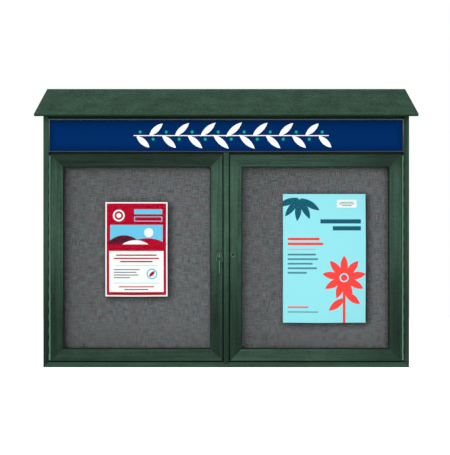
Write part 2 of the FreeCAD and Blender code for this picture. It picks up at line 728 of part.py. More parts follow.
def corner_brace(corner, grow):
    x, z, side_x, side_z = corner
    near = BRACE_INSET - grow
    wide, far = BRACE_INSET + BRACE_WIDTH + grow, BRACE_INSET + BRACE_LEG + grow
    y0, y1 = DOOR_BACK - BRACE_THICK, DOOR_BACK + (PAST if grow else 0)
    level = box(x + side_x * near, x + side_x * far, y0, y1, z + side_z * near, z + side_z * wide)
    upright = box(x + side_x * near, x + side_x * wide, y0, y1, z + side_z * near, z + side_z * far)
    return level.fuse(upright).removeSplitter()


def brace_screws():
    middle = BRACE_INSET + BRACE_WIDTH / 2
    along = (BRACE_INSET + BRACE_WIDTH + BRACE_SCREW_INSET, BRACE_INSET + BRACE_LEG - BRACE_SCREW_INSET)
    screws = []
    for x, z, side_x, side_z in DOOR_CORNERS:
        for reach in along:
            for a, b in ((reach, middle), (middle, reach)):
                point = V(x + side_x * a, DOOR_BACK, z + side_z * b)
                screws.append(screw(SMALL_SCREW, point, FORWARD, BRACE_SCREW))
    return screws


def door_hinge_screws():
    x = -DOOR_OUTER_X - LEAF_THICK
    heights = spread(HINGE_BOTTOM, HINGE_TOP, HINGE_SCREW_COUNT, SCREW_END)
    return [screw(SMALL_SCREW, V(x, LEAF_MIDDLE, z), RIGHT, DOOR_HINGE_SCREW) for z in heights]


def door_members(screws):
    """Hinge stile, lock stile, bottom rail and top rail, each with a face that slopes in to the pane."""
    edge_back, edge_front, rim = V(0, DOOR_BACK, 0), V(0, FRONT_Y, 0), V(DOOR_RIM, FRONT_Y, 0)
    profile = [edge_back]
    profile += rounded(edge_front, edge_back, rim, DOOR_ARRIS)
    profile += [
        rim,
        V(DOOR_FACE, LIP_FRONT, 0),
        V(DOOR_FACE, LIP_BACK, 0),
        V(REBATE_U, LIP_BACK, 0),
        V(REBATE_U, DOOR_BACK, 0),
    ]
    x0, x1 = -DOOR_OUTER_X, -DOOR_INNER_X
    members = mitred_frame(profile, x0, x1, DOOR_BOTTOM, DOOR_TOP, DOOR_FACE, MITRE_GAP)
    pockets = [corner_brace(corner, BRACE_FIT) for corner in DOOR_CORNERS]
    x, z = -LOCK_FROM_CENTRE, LOCK_Z
    seat = rod(LOCK_FLANGE_R + LOCK_FLANGE_FIT, FRONT_Y - PAST, LOCK_SEAT, x, z)
    hole = rod(LOCK_BARREL_R + LOCK_BARREL_FIT, FRONT_Y - PAST, DOOR_BACK + PAST, x, z)
    return [drilled(m.cut(pockets + [seat, hole]), screws) for m in members]


def pane():
    return door_area(REBATE_U + PANE_PLAY, PANE_FRONT, PANE_BACK)


def gasket():
    inner = DOOR_FACE + GASKET_SHOWS
    flat = door_area(REBATE_U + PANE_PLAY, LIP_BACK, PANE_FRONT)
    bead = door_area(DOOR_FACE + MITRE_GAP, LIP_BACK - GASKET_BEAD, PANE_FRONT)
    return flat.fuse(bead).cut(door_area(inner, LIP_BACK - PAST, PANE_FRONT + PAST)).removeSplitter()


def glazing_beads():
    outer, inner = REBATE_U + BRACE_FIT, DOOR_FACE + BEAD_SHOWS
    x0, x1 = -DOOR_OUTER_X + outer, -DOOR_INNER_X - outer
    z0, z1 = DOOR_BOTTOM + outer, DOOR_TOP - outer
    wide = inner - outer
    strips = []
    for x, side in ((x0, 1), (x1, -1)):
        strips.append(box(x, x + side * wide, PANE_BACK, DOOR_BACK, z0, z1))
    for z, side in ((z0, 1), (z1, -1)):
        strips.append(box(x0 + wide, x1 - wide, PANE_BACK, DOOR_BACK, z, z + side * wide))
    return group(strips)


# Locks: each function makes the left lock's piece

def lock_body():
    x, z = -LOCK_FROM_CENTRE, LOCK_Z
    dome_back = LOCK_FACE + LOCK_DOME
    crown_r = LOCK_FLANGE_R - LOCK_DOME
    dome = Part.makeCone(crown_r, LOCK_FLANGE_R, LOCK_DOME, V(x, LOCK_FACE, z), BACKWARD)
    flange = rod(LOCK_FLANGE_R, dome_back, LOCK_SEAT, x, z)
    barrel = rod(LOCK_BARREL_R, LOCK_SEAT, BARREL_END, x, z)
    bore = rod(PLUG_R + PLUG_FIT, LOCK_FACE - PAST, BARREL_END + PAST, x, z)
    recess = rod(PLUG_HEAD_R + PLUG_FIT, LOCK_FACE - PAST, LOCK_FACE + PLUG_HEAD_THICK + PLUG_FIT, x, z)
    return dome.fuse([flange, barrel]).cut([bore, recess]).removeSplitter()


def lock_nut():
    x, z = -LOCK_FROM_CENTRE, LOCK_Z
    bore = LOCK_BARREL_R + PLUG_FIT
    return hexagon(LOCK_NUT_FLATS, DOOR_BACK, DOOR_BACK + LOCK_NUT_THICK, x, z, bore)


def lock_plug():
    """The part that the key turns: head, plug with keyway, square for the cam and thread for its nut."""
    x, z = -LOCK_FROM_CENTRE, LOCK_Z
    thread_end = CAM_BACK + CAM_NUT_THICK + PLUG_THREAD_SPARE
    half = PLUG_SQUARE / 2
    head = rod(PLUG_HEAD_R, LOCK_FACE, LOCK_FACE + PLUG_HEAD_THICK, x, z)
    plug = rod(PLUG_R, LOCK_FACE, PLUG_END, x, z)
    square = box(x - half, x + half, PLUG_END, CAM_BACK, z - half, z + half)
    thread = rod(PLUG_THREAD_R, CAM_BACK, thread_end, x, z)
    wide, tall = KEY_THICK / 2 + KEY_SLOT_FIT, KEY_BLADE_HEIGHT / 2 + KEY_SLOT_FIT
    slot_end = LOCK_FACE + KEY_BLADE_LENGTH + KEY_SLOT_FIT
    slot = box(x - wide, x + wide, LOCK_FACE - PAST, slot_end, z - tall, z + tall)
    return plug.fuse([head, square, thread]).cut(slot).removeSplitter()


def lock_cam():
    """Unlocked: the cam stands up, clear of the strike plate."""
    x, r = -LOCK_FROM_CENTRE, CAM_WIDTH / 2
    tip = LOCK_Z + CAM_REACH - r
    half = PLUG_SQUARE / 2 + CAM_FIT
    arm = box(x - r, x + r, CAM_FRONT, CAM_BACK, LOCK_Z, tip)
    ends = [rod(r, CAM_FRONT, CAM_BACK, x, z) for z in (LOCK_Z, tip)]
    hole = box(x - half, x + half, CAM_FRONT - PAST, CAM_BACK + PAST, LOCK_Z - half, LOCK_Z + half)
    return arm.fuse(ends).cut(hole).removeSplitter()


def cam_nut():
    bore = PLUG_THREAD_R + PLUG_FIT
    return hexagon(CAM_NUT_FLATS, CAM_BACK, CAM_BACK + CAM_NUT_THICK, -LOCK_FROM_CENTRE, LOCK_Z, bore)


# Keys

def key_at_hole():
    """A flat key with the middle of its bow's hole at the origin and its blade towards +Y."""
    x = -KEY_THICK / 2
    bow_y = KEY_HOLE_OUT
    shoulder = bow_y + KEY_BOW_R + KEY_NECK
    tip = shoulder + KEY_SHOULDER_GAP + KEY_BLADE_LENGTH
    half = KEY_BLADE_HEIGHT / 2
    slant = KEY_CUT_PITCH - 2 * KEY_CUT_FLAT
    outline = [V(x, bow_y, half), V(x, tip - KEY_TIP, half), V(x, tip, half - KEY_TIP)]
    outline += [V(x, tip, KEY_TIP - half), V(x, tip - KEY_TIP, -half)]
    y = tip - KEY_TIP
    for depth in KEY_CUT_DEPTHS:
        outline.append(V(x, y - slant / 2, depth - half))
        outline.append(V(x, y - slant / 2 - KEY_CUT_FLAT, depth - half))
        outline.append(V(x, y - slant - KEY_CUT_FLAT, -half))
        y -= KEY_CUT_PITCH
        outline.append(V(x, y, -half))
    outline.append(V(x, bow_y, -half))
    blade = prism(outline, V(KEY_THICK, 0, 0))
    neck = box(x, -x, bow_y, shoulder, -KEY_NECK_HEIGHT / 2, KEY_NECK_HEIGHT / 2)
    bow = Part.makeCylinder(KEY_BOW_R, KEY_THICK, V(x, bow_y, 0), RIGHT)
    hole = Part.makeCylinder(KEY_HOLE_R, KEY_THICK, V(x, 0, 0), RIGHT)
    return bow.fuse([neck, blade]).cut(hole).removeSplitter()


def key_in_lock():
    key = key_at_hole()
    key.translate(V(-LOCK_FROM_CENTRE, KEY_HOLE_Y, LOCK_Z))
    return key


def spare_key():
    key = key_at_hole()
    key.rotate(V(0, 0, 0), RIGHT, -90)
    key.translate(V(-LOCK_FROM_CENTRE, KEY_HOLE_Y, SPARE_HOLE_Z))
    return key


def key_ring():
    return Part.makeTorus(RING_R, RING_WIRE_R, V(-LOCK_FROM_CENTRE, KEY_HOLE_Y, RING_Z), BACKWARD)


# Tackboards and posters

def board_area(side, grow, y0, y1):
    """A block as large as a tackboard's core on one side, or `grow` larger all round."""
    near, far = TACK_INNER_X + FABRIC_THICK - grow, TACK_OUTER_X - FABRIC_THICK + grow
    low, high = TACK_BOTTOM + FABRIC_THICK - grow, TACK_TOP - FABRIC_THICK + grow
    return box(side * near, side * far, y0, y1, low, high)


def tackboard(side, staple_holes):
    return board_area(side, 0, CORE_FRONT, CORE_BACK).cut(staple_holes)


def tack_fabric(side, staple_holes):
    """The cloth over a tackboard's front and round its edges."""
    skin = board_area(side, FABRIC_THICK, FABRIC_FRONT, CORE_BACK)
    return skin.cut([board_area(side, 0, CORE_FRONT, CORE_BACK + PAST)] + staple_holes)


def tackboard_pads():
    pads = []
    half = PAD_SIZE / 2
    for side in (-1, 1):
        for x in (TACK_INNER_X + PAD_INSET, TACK_OUTER_X - PAD_INSET):
            for z in (TACK_BOTTOM + PAD_INSET, TACK_TOP - PAD_INSET):
                middle = side * x
                pads.append(box(middle - half, middle + half, CORE_BACK, BACK_FRONT, z - half, z + half))
    return group(pads)


def poster(x, up, width, height, staple_holes):
    z = BOTTOM_Z + up
    sheet = box(x - width / 2, x + width / 2, POSTER_FRONT, FABRIC_FRONT, z - height / 2, z + height / 2)
    return sheet.cut(staple_holes)


def staple_places(x, up, width, height):
    z = BOTTOM_Z + up
    reach_x = width / 2 - STAPLE_INSET
    reach_z = height / 2 - STAPLE_INSET
    return [(x + a * reach_x, z + b * reach_z) for a in (-1, 1) for b in (-1, 1)]


def staple_legs(place, grow):
    x, z = place
    half = STAPLE_WIRE / 2
    legs = []
    for side in (-1, 1):
        middle = x + side * (STAPLE_WIDTH / 2 - half)
        reach = half + grow
        end = POSTER_FRONT + STAPLE_LEG + grow
        legs.append(box(middle - reach, middle + reach, POSTER_FRONT - grow, end, z - reach, z + reach))
    return legs


def staple(place):
    x, z = place
    half, reach = STAPLE_WIRE / 2, STAPLE_WIDTH / 2
    crown = box(x - reach, x + reach, POSTER_FRONT - STAPLE_WIRE, POSTER_FRONT, z - half, z + half)
    return crown.fuse(staple_legs(place, 0)).removeSplitter()


def build():
    case_screws = all_case_screws()
    small_screws = all_small_case_screws()
    door_screws = brace_screws() + door_hinge_screws()

    left_sheet = (LEFT_POSTER_X, LEFT_POSTER_UP, LEFT_POSTER_WIDTH, LEFT_POSTER_HEIGHT)
    right_sheet = (RIGHT_POSTER_X, RIGHT_POSTER_UP, RIGHT_POSTER_WIDTH, RIGHT_POSTER_HEIGHT)
    left_places, right_places = staple_places(*left_sheet), staple_places(*right_sheet)
    left_holes = [leg for p in left_places for leg in staple_legs(p, STAPLE_FIT)]
    right_holes = [leg for p in right_places for leg in staple_legs(p, STAPLE_FIT)]

    side_board = left_side_board(case_screws + small_screws)
    jamb_leaf = left_jamb_leaf(small_screws)
    hinge_pin = left_hinge_pin()
    parts = {
        "left_side_board": side_board,
        "right_side_board": both(side_board),
        "bottom_board": bottom_board(case_screws),
        "back_panel": back_panel(case_screws),
        "header_divider": header_divider(case_screws + small_screws),
        "header_board": header_board(case_screws + small_screws),
        "roof_slab": roof_slab(case_screws),
        "roof_cleats": roof_cleats(case_screws),
        "mullion": mullion(bottom_board([]), case_screws + small_screws),
        "mullion_stop": mullion_stop(case_screws + small_screws),
        "door_stops": door_stops(case_screws),
        "door_seals": door_seals(),
        "strike_plate": strike_plate(small_screws),
        "sign_frame": sign_frame(small_screws),
        "sign_panel": sign_panel(),
        "case_screws": group([screw_solid(s) for s in case_screws]),
        "small_case_screws": group([screw_solid(s) for s in small_screws]),
        "hinge_jamb_leaves": group([jamb_leaf, both(jamb_leaf)]),
        "hinge_pins": group([hinge_pin, both(hinge_pin)]),
        "left_tackboard": tackboard(-1, left_holes),
        "right_tackboard": tackboard(1, right_holes),
        "left_tack_fabric": tack_fabric(-1, left_holes),
        "right_tack_fabric": tack_fabric(1, right_holes),
        "tackboard_pads": tackboard_pads(),
        "left_poster": poster(*left_sheet, left_holes),
        "right_poster": poster(*right_sheet, right_holes),
        "poster_staples": group([staple(p) for p in left_places + right_places]),
        "key": key_in_lock(),
        "key_ring": key_ring(),
        "spare_key": spare_key(),
    }

    hinge_stile, lock_stile, bottom_rail, top_rail = door_members(door_screws)
    pairs = {
        "hinge_stile": hinge_stile,
        "lock_stile": lock_stile,
        "bottom_rail": bottom_rail,
        "top_rail": top_rail,
        "pane": pane(),
        "gasket": gasket(),
        "glazing_beads": glazing_beads(),
        "corner_braces": group([drilled(corner_brace(c, 0), door_screws) for c in DOOR_CORNERS]),
        "door_screws": group([screw_solid(s) for s in door_screws]),
        "hinge_leaf": left_hinge_leaf(door_screws),
        "lock_body": lock_body(),
        "lock_nut": lock_nut(),
        "lock_plug": lock_plug(),
        "lock_cam": lock_cam(),
        "cam_nut": cam_nut(),
    }
    for name, shape in pairs.items():
        parts["left_" + name] = shape
        parts["right_" + name] = both(shape)
    return parts


def write(name, shape):
    solids = shape.Solids
    if not solids:
        raise ValueError(name + " has no solid")
    whole = solids[0] if len(solids) == 1 else group(solids)
    whole.exportStep("parts/" + name + ".step")


os.makedirs("parts", exist_ok=True)
for part_name, part_shape in build().items():
    write(part_name, part_shape)
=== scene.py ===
import json
import math
from collections import Counter

import bmesh
import bpy
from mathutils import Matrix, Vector


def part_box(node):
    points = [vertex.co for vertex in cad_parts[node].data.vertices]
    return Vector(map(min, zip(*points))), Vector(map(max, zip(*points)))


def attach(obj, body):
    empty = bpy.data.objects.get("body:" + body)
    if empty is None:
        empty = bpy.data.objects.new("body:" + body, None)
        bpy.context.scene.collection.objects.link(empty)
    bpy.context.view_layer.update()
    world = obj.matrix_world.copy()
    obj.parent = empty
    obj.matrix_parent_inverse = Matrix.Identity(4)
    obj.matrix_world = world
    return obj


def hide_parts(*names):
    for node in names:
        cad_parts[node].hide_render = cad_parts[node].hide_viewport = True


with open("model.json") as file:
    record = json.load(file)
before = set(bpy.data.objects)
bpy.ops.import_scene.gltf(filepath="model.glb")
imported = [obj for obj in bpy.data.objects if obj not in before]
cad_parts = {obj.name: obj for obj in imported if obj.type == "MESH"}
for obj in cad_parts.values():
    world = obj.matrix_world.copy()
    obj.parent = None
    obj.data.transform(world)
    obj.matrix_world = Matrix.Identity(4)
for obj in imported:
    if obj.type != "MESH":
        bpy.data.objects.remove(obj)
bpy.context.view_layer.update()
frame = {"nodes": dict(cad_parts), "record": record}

# A two-door, lockable, wall-hung outdoor notice board of recycled-plastic lumber.
# Metres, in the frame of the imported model: the doors face -Y and Z is up.

MM = 0.001
SIDES = ("left", "right")


# Camera, light and stage

PHOTO_WIDTH, PHOTO_HEIGHT = 450, 455
FOCAL_PIXELS = 596.1
SENSOR_MM = 36.0
CAMERA_PLACE = (-0.0044, -2.252, 0.1048)

FLOOR_Z = -1.6
FLOOR_HALF = 9.0
FLOOR_GREY = 0.6
FLOOR_SPECKLE = 0.02
FLOOR_GLOW = 1.0
SKY_DARK = 0.2
SKY_BRIGHT = 0.66
SKY_BRIGHT_SIDE = (-0.40, -0.15, 0.90)

LAMPS = {
    "key_lamp": {"place": (-0.85, -4.25, 0.95), "size": 1.5, "watts": 70.0},
    "front_lamp": {"place": (0.3, -4.5, 0.1), "size": 1.2, "watts": 78.0},
    "rear_lamp": {"place": (0.9, 2.8, 1.6), "size": 2.2, "watts": 46.0},
}
LAMP_TARGET = Vector((0.0, -0.05, 0.1))


def aim(thing, place, target):
    thing.location = place
    thing.rotation_euler = (target - Vector(place)).to_track_quat("-Z", "Y").to_euler()
    bpy.context.scene.collection.objects.link(thing)


def make_camera():
    lens = bpy.data.cameras.new("camera")
    lens.sensor_fit = "HORIZONTAL"
    lens.sensor_width = SENSOR_MM
    lens.lens = SENSOR_MM * FOCAL_PIXELS / PHOTO_WIDTH
    camera = bpy.data.objects.new("camera", lens)
    aim(camera, CAMERA_PLACE, Vector(CAMERA_PLACE) + Vector((0, 1, 0)))
    bpy.context.scene.camera = camera


def make_lamps():
    for name, lamp in LAMPS.items():
        data = bpy.data.lights.new(name, "AREA")
        data.shape = "DISK"
        data.size = lamp["size"]
        data.energy = lamp["watts"]
        placed = bpy.data.objects.new(name, data)
        placed.visible_glossy = False
        placed.visible_transmission = False
        aim(placed, lamp["place"], LAMP_TARGET)


# Shader helpers

def colour(red, green, blue):
    """A colour on a scale of 0 to 255, as the shaders want it."""
    shares = [v / 255 for v in (red, green, blue)]
    linear = [v / 12.92 if v <= 0.04045 else ((v + 0.055) / 1.055) ** 2.4 for v in shares]
    return (*linear, 1.0)


def add(tree, kind, inputs=None, **settings):
    """Adds a shader node. inputs maps its sockets to values, or to the sockets that feed them."""
    made = tree.nodes.new("ShaderNode" + kind)
    for name, value in settings.items():
        setattr(made, name, value)
    for socket, value in (inputs or {}).items():
        if isinstance(value, bpy.types.NodeSocket):
            tree.links.new(value, made.inputs[socket])
        else:
            made.inputs[socket].default_value = value
    return made


def calculate(tree, operation, *values):
    return add(tree, "Math", dict(enumerate(values)), operation=operation).outputs[0]


def move(tree, operation, *values):
    return add(tree, "VectorMath", dict(enumerate(values)), operation=operation).outputs[0]


def remap(tree, value, low, high, to_low, to_high):
    inputs = {0: value, 1: low, 2: high, 3: to_low, 4: to_high}
    return add(tree, "MapRange", inputs).outputs[0]


def blend(tree, share, first, second):
    inputs = {0: share, 6: first, 7: second}
    return add(tree, "Mix", inputs, data_type="RGBA").outputs[2]


def noise(tree, place, scale, detail=2.0):
    inputs = {"Vector": place, "Scale": scale, "Detail": detail}
    return add(tree, "TexNoise", inputs).outputs[0]


def effect(name, inputs, outputs):
    """A node group with named sockets. Returns it, the sockets of what it is given, and the sockets
    of what it puts out."""
    tree = bpy.data.node_groups.new(name, "ShaderNodeTree")
    for label, (kind, value) in inputs.items():
        socket = tree.interface.new_socket(label, in_out="INPUT", socket_type="NodeSocket" + kind)
        socket.default_value = value
    for label in outputs:
        tree.interface.new_socket(label, in_out="OUTPUT", socket_type="NodeSocketFloat")
    given = tree.nodes.new("NodeGroupInput").outputs
    return tree, given, tree.nodes.new("NodeGroupOutput").inputs


def blank_material(name):
    """A material with a Principled shader. Returns it, its node tree and that shader."""
    material = bpy.data.materials.new(name)
    material.use_nodes = True
    return material, material.node_tree, material.node_tree.nodes["Principled BSDF"]


def object_place(tree):
    return add(tree, "TexCoord").outputs["Object"]


def bump(tree, height, depth, strength=1.0):
    inputs = {"Strength": strength, "Distance": depth, "Height": height}
    return add(tree, "Bump", inputs).outputs[0]


# Shared effects

GRAIN_SHARE = 0.03
ALONG_X = (GRAIN_SHARE, 1, 1)
ALONG_Y = (1, 0.1, 1)
ALONG_Z = (1, 1, GRAIN_SHARE)
SMALL_ARRIS = 1.5 * MM
# How wide the roof's painted arris highlight is
ROOF_HIGHLIGHT_WIDTH = 4.0 * MM
METAL_ARRIS = 0.6 * MM
SHADE_REACH = 10 * MM
WEAVE_PITCH = 1.2 * MM

# Between which heights, or distances from the middle, the boards' painted light and shade turns
PAINTED_LIGHT_HEIGHTS = (-0.21, 0.17)
TOP_SHADE_HEIGHTS = (0.32, 0.41)
END_SHADE_REACH = (0.35, 0.56)
RAGGED = 0.08


def make_plastic_grain():
    """Streaks along the board from the die, over the flecks and clouds of recycled plastic."""
    tree, given, out = effect(
        "plastic_grain",
        {
            "Place": ("Vector", (0, 0, 0)),
            "Stretch": ("Vector", (1, 1, 1)),
            "Flecks": ("Float", 0.5),
        },
        ("Shade", "Height"),
    )
    drawn = move(tree, "MULTIPLY", given["Place"], given["Stretch"])
    wide = noise(tree, drawn, 80.0, 3.0)
    fine = noise(tree, drawn, 300.0, 3.0)
    flecks = noise(tree, given["Place"], 150.0, 4.0)
    clouds = noise(tree, given["Place"], 17.0, 3.0)
    streaks = calculate(tree, "MULTIPLY_ADD", wide, 0.6, calculate(tree, "MULTIPLY", fine, 0.4))
    mixed = calculate(tree, "MULTIPLY_ADD", flecks, 0.65, calculate(tree, "MULTIPLY", clouds, 0.35))
    shade = add(tree, "Mix", {0: given["Flecks"], 2: streaks, 3: mixed}).outputs[0]
    tree.links.new(remap(tree, shade, 0.38, 0.62, 0.0, 1.0), out["Shade"])
    height = calculate(tree, "MULTIPLY_ADD", fine, 0.6, calculate(tree, "MULTIPLY", flecks, 0.4))
    tree.links.new(height, out["Height"])
    return tree


def make_arris_wear_and_highlight():
    """Where an edge is scuffed pale, and where a painted highlight lies along it: the difference
    between the true and a rounded normal.
    """
    tree, given, out = effect(
        "arris_wear_and_highlight",
        {"Place": ("Vector", (0, 0, 0)), "Width": ("Float", SMALL_ARRIS)},
        ("Mask",),
    )
    rounded = add(tree, "Bevel", {"Radius": given["Width"]}, samples=4).outputs[0]
    true = add(tree, "NewGeometry").outputs["Normal"]
    inputs = {0: rounded, 1: true}
    facing = add(tree, "VectorMath", inputs, operation="DOT_PRODUCT").outputs["Value"]
    edge = remap(tree, facing, 0.98, 0.80, 0.0, 1.0)
    patchy = remap(tree, noise(tree, given["Place"], 60.0, 3.0), 0.35, 0.65, 0.35, 1.0)
    tree.links.new(calculate(tree, "MULTIPLY", edge, patchy), out["Mask"])
    return tree


def make_height_fade():
    """Share is 0 low down and 1 higher up, for painted light that leaves the boards darker towards
    the bottom. Top is 1 from the doors' upper ends up, for painted shade under the divider, and
    Outer is 1 towards the case's two ends, for painted shade there."""
    tree, given, out = effect(
        "height_fade",
        {
            "Place": ("Vector", (0, 0, 0)),
            "Low": ("Float", PAINTED_LIGHT_HEIGHTS[0]),
            "High": ("Float", PAINTED_LIGHT_HEIGHTS[1]),
        },
        ("Share", "Top", "Outer"),
    )
    across, _, up = add(tree, "SeparateXYZ", {0: given["Place"]}).outputs
    ragged = calculate(tree, "MULTIPLY_ADD", noise(tree, given["Place"], 9.0, 3.0), RAGGED, up)
    inputs = {0: ragged, 1: given["Low"], 2: given["High"]}
    eased_up = add(tree, "MapRange", inputs, interpolation_type="SMOOTHSTEP").outputs[0]
    tree.links.new(eased_up, out["Share"])
    inputs = {0: ragged, 1: TOP_SHADE_HEIGHTS[0], 2: TOP_SHADE_HEIGHTS[1]}
    shade_mask = add(tree, "MapRange", inputs, interpolation_type="SMOOTHSTEP").outputs[0]
    tree.links.new(shade_mask, out["Top"])
    outward = remap(tree, calculate(tree, "ABSOLUTE", across), *END_SHADE_REACH, 0.0, 1.0)
    tree.links.new(outward, out["Outer"])
    return tree


def make_corner_shade():
    """1 in the seams and inner corners, out to about Reach, for painted shade there."""
    tree, given, out = effect("corner_shade", {"Reach": ("Float", SHADE_REACH)}, ("Mask",))
    inputs = {"Distance": given["Reach"]}
    open_share = add(tree, "AmbientOcclusion", inputs, samples=6).outputs["AO"]
    tree.links.new(remap(tree, open_share, 0.85, 0.35, 0.0, 1.0), out["Mask"])
    return tree


def make_dust_and_under_shade():
    """Mask: dust and dried rain on what faces up. Under: painted shade on what faces down."""
    tree, given, out = effect(
        "dust_and_under_shade",
        {"Place": ("Vector", (0, 0, 0)), "Amount": ("Float", 0.3)},
        ("Mask", "Under"),
    )
    normal = add(tree, "NewGeometry").outputs["Normal"]
    upward = add(tree, "SeparateXYZ", {0: normal}).outputs[2]
    lying = remap(tree, upward, 0.35, 1.0, 0.0, 1.0)
    patchy = remap(tree, noise(tree, given["Place"], 24.0, 4.0), 0.40, 0.72, 0.0, 1.0)
    dust = calculate(tree, "MULTIPLY", calculate(tree, "MULTIPLY", lying, patchy), given["Amount"])
    tree.links.new(dust, out["Mask"])
    tree.links.new(remap(tree, upward, -0.25, -0.55, 0.0, 1.0), out["Under"])
    return tree


def make_plain_weave():
    """Warp over weft over warp, with slubs along both, in X and Z."""
    tree, given, out = effect(
        "plain_weave",
        {"Place": ("Vector", (0, 0, 0)), "Pitch": ("Float", WEAVE_PITCH)},
        ("Shade", "Height"),
    )
    turns = calculate(tree, "DIVIDE", math.pi, given["Pitch"])
    parts = add(tree, "SeparateXYZ", {0: given["Place"]})
    across = calculate(tree, "MULTIPLY", parts.outputs[0], turns)
    along = calculate(tree, "MULTIPLY", parts.outputs[2], turns)
    over = calculate(
        tree, "MULTIPLY", calculate(tree, "SINE", across), calculate(tree, "SINE", along)
    )
    warp = calculate(tree, "ABSOLUTE", calculate(tree, "COSINE", across))
    weft = calculate(tree, "ABSOLUTE", calculate(tree, "COSINE", along))
    warp = calculate(tree, "MULTIPLY", warp, remap(tree, over, -1.0, 1.0, 0.3, 1.0))
    weft = calculate(tree, "MULTIPLY", weft, remap(tree, over, -1.0, 1.0, 1.0, 0.3))
    height = calculate(tree, "MAXIMUM", warp, weft)
    tree.links.new(height, out["Height"])
    slub_x = noise(tree, move(tree, "MULTIPLY", given["Place"], (0.10, 1.0, 1.0)), 310.0, 2.0)
    slub_z = noise(tree, move(tree, "MULTIPLY", given["Place"], (1.0, 1.0, 0.10)), 310.0, 2.0)
    slubs = calculate(tree, "ADD", slub_x, slub_z)
    heather = remap(tree, slubs, 0.80, 1.20, 0.0, 0.85)
    threads = calculate(tree, "MULTIPLY", height, 0.15)
    tree.links.new(calculate(tree, "ADD", heather, threads), out["Shade"])
    return tree


def make_fine_scratches():
    """Hairlines drawn one way, for satin metal."""
    tree, given, out = effect(
        "fine_scratches",
        {"Place": ("Vector", (0, 0, 0)), "Stretch": ("Vector", ALONG_Z)},
        ("Shade",),
    )
    drawn = move(tree, "MULTIPLY", given["Place"], given["Stretch"])
    lines = noise(tree, drawn, 3500.0, 2.0)
    smears = noise(tree, given["Place"], 180.0, 3.0)
    shade = calculate(tree, "MULTIPLY_ADD", lines, 0.6, calculate(tree, "MULTIPLY", smears, 0.4))
    tree.links.new(shade, out["Shade"])
    return tree


def make_flat_shape():
    """Mask is 1 inside a bar or disc in the XZ plane: a rectangle of Half, grown by Corner all
    round. Past is how far a point lies outside the rectangle of Half."""
    tree, given, out = effect(
        "flat_shape",
        {
            "Place": ("Vector", (0, 0, 0)),
            "Centre": ("Vector", (0, 0, 0)),
            "Half": ("Vector", (0, 0, 0)),
            "Corner": ("Float", 0.0),
        },
        ("Mask", "Past"),
    )
    offset = move(tree, "SUBTRACT", given["Place"], given["Centre"])
    flat = move(tree, "MULTIPLY", offset, (1, 0, 1))
    past = move(tree, "SUBTRACT", move(tree, "ABSOLUTE", flat), given["Half"])
    outside = move(tree, "MAXIMUM", past, (0, 0, 0))
    distance = add(tree, "VectorMath", {0: outside}, operation="LENGTH").outputs["Value"]
    tree.links.new(calculate(tree, "LESS_THAN", distance, given["Corner"]), out["Mask"])
    tree.links.new(distance, out["Past"])
    return tree


PLASTIC_GRAIN = make_plastic_grain()
ARRIS_WEAR_AND_HIGHLIGHT = make_arris_wear_and_highlight()
HEIGHT_FADE = make_height_fade()
CORNER_SHADE = make_corner_shade()
DUST_AND_UNDER_SHADE = make_dust_and_under_shade()
PLAIN_WEAVE = make_plain_weave()
FINE_SCRATCHES = make_fine_scratches()
FLAT_SHAPE = make_flat_shape()


# Materials

# How much of a board's own tone its grain, its painted shade and its scuffed and highlighted
# arrises have
DARK_GRAIN = 0.6
PALE_GRAIN = 1.4
SHADE_TONE_SHARE = 0.4
RUBBED_AND_LIT = 2.4
DEEP_SHADE_TONE = 0.25

# How much of a metal's own tone its scratches, its painted shade and its polished arrises have
SCRATCHED = 0.7
SHADED_METAL_SHARE = 0.3
POLISHED = 1.35

# How fully the painted shade in seams and corners, and the polish on metal arrises, cover
SHADE_COVER = 0.7
POLISH_COVER = 0.6
DUST = colour(112, 116, 104)
BLOOM = colour(110, 108, 100)
LUMBER_ROUGH = (0.68, 0.52)


def scaled(tone, factor):
    return tuple(min(1.0, factor * v) for v in tone[:3]) + (1.0,)


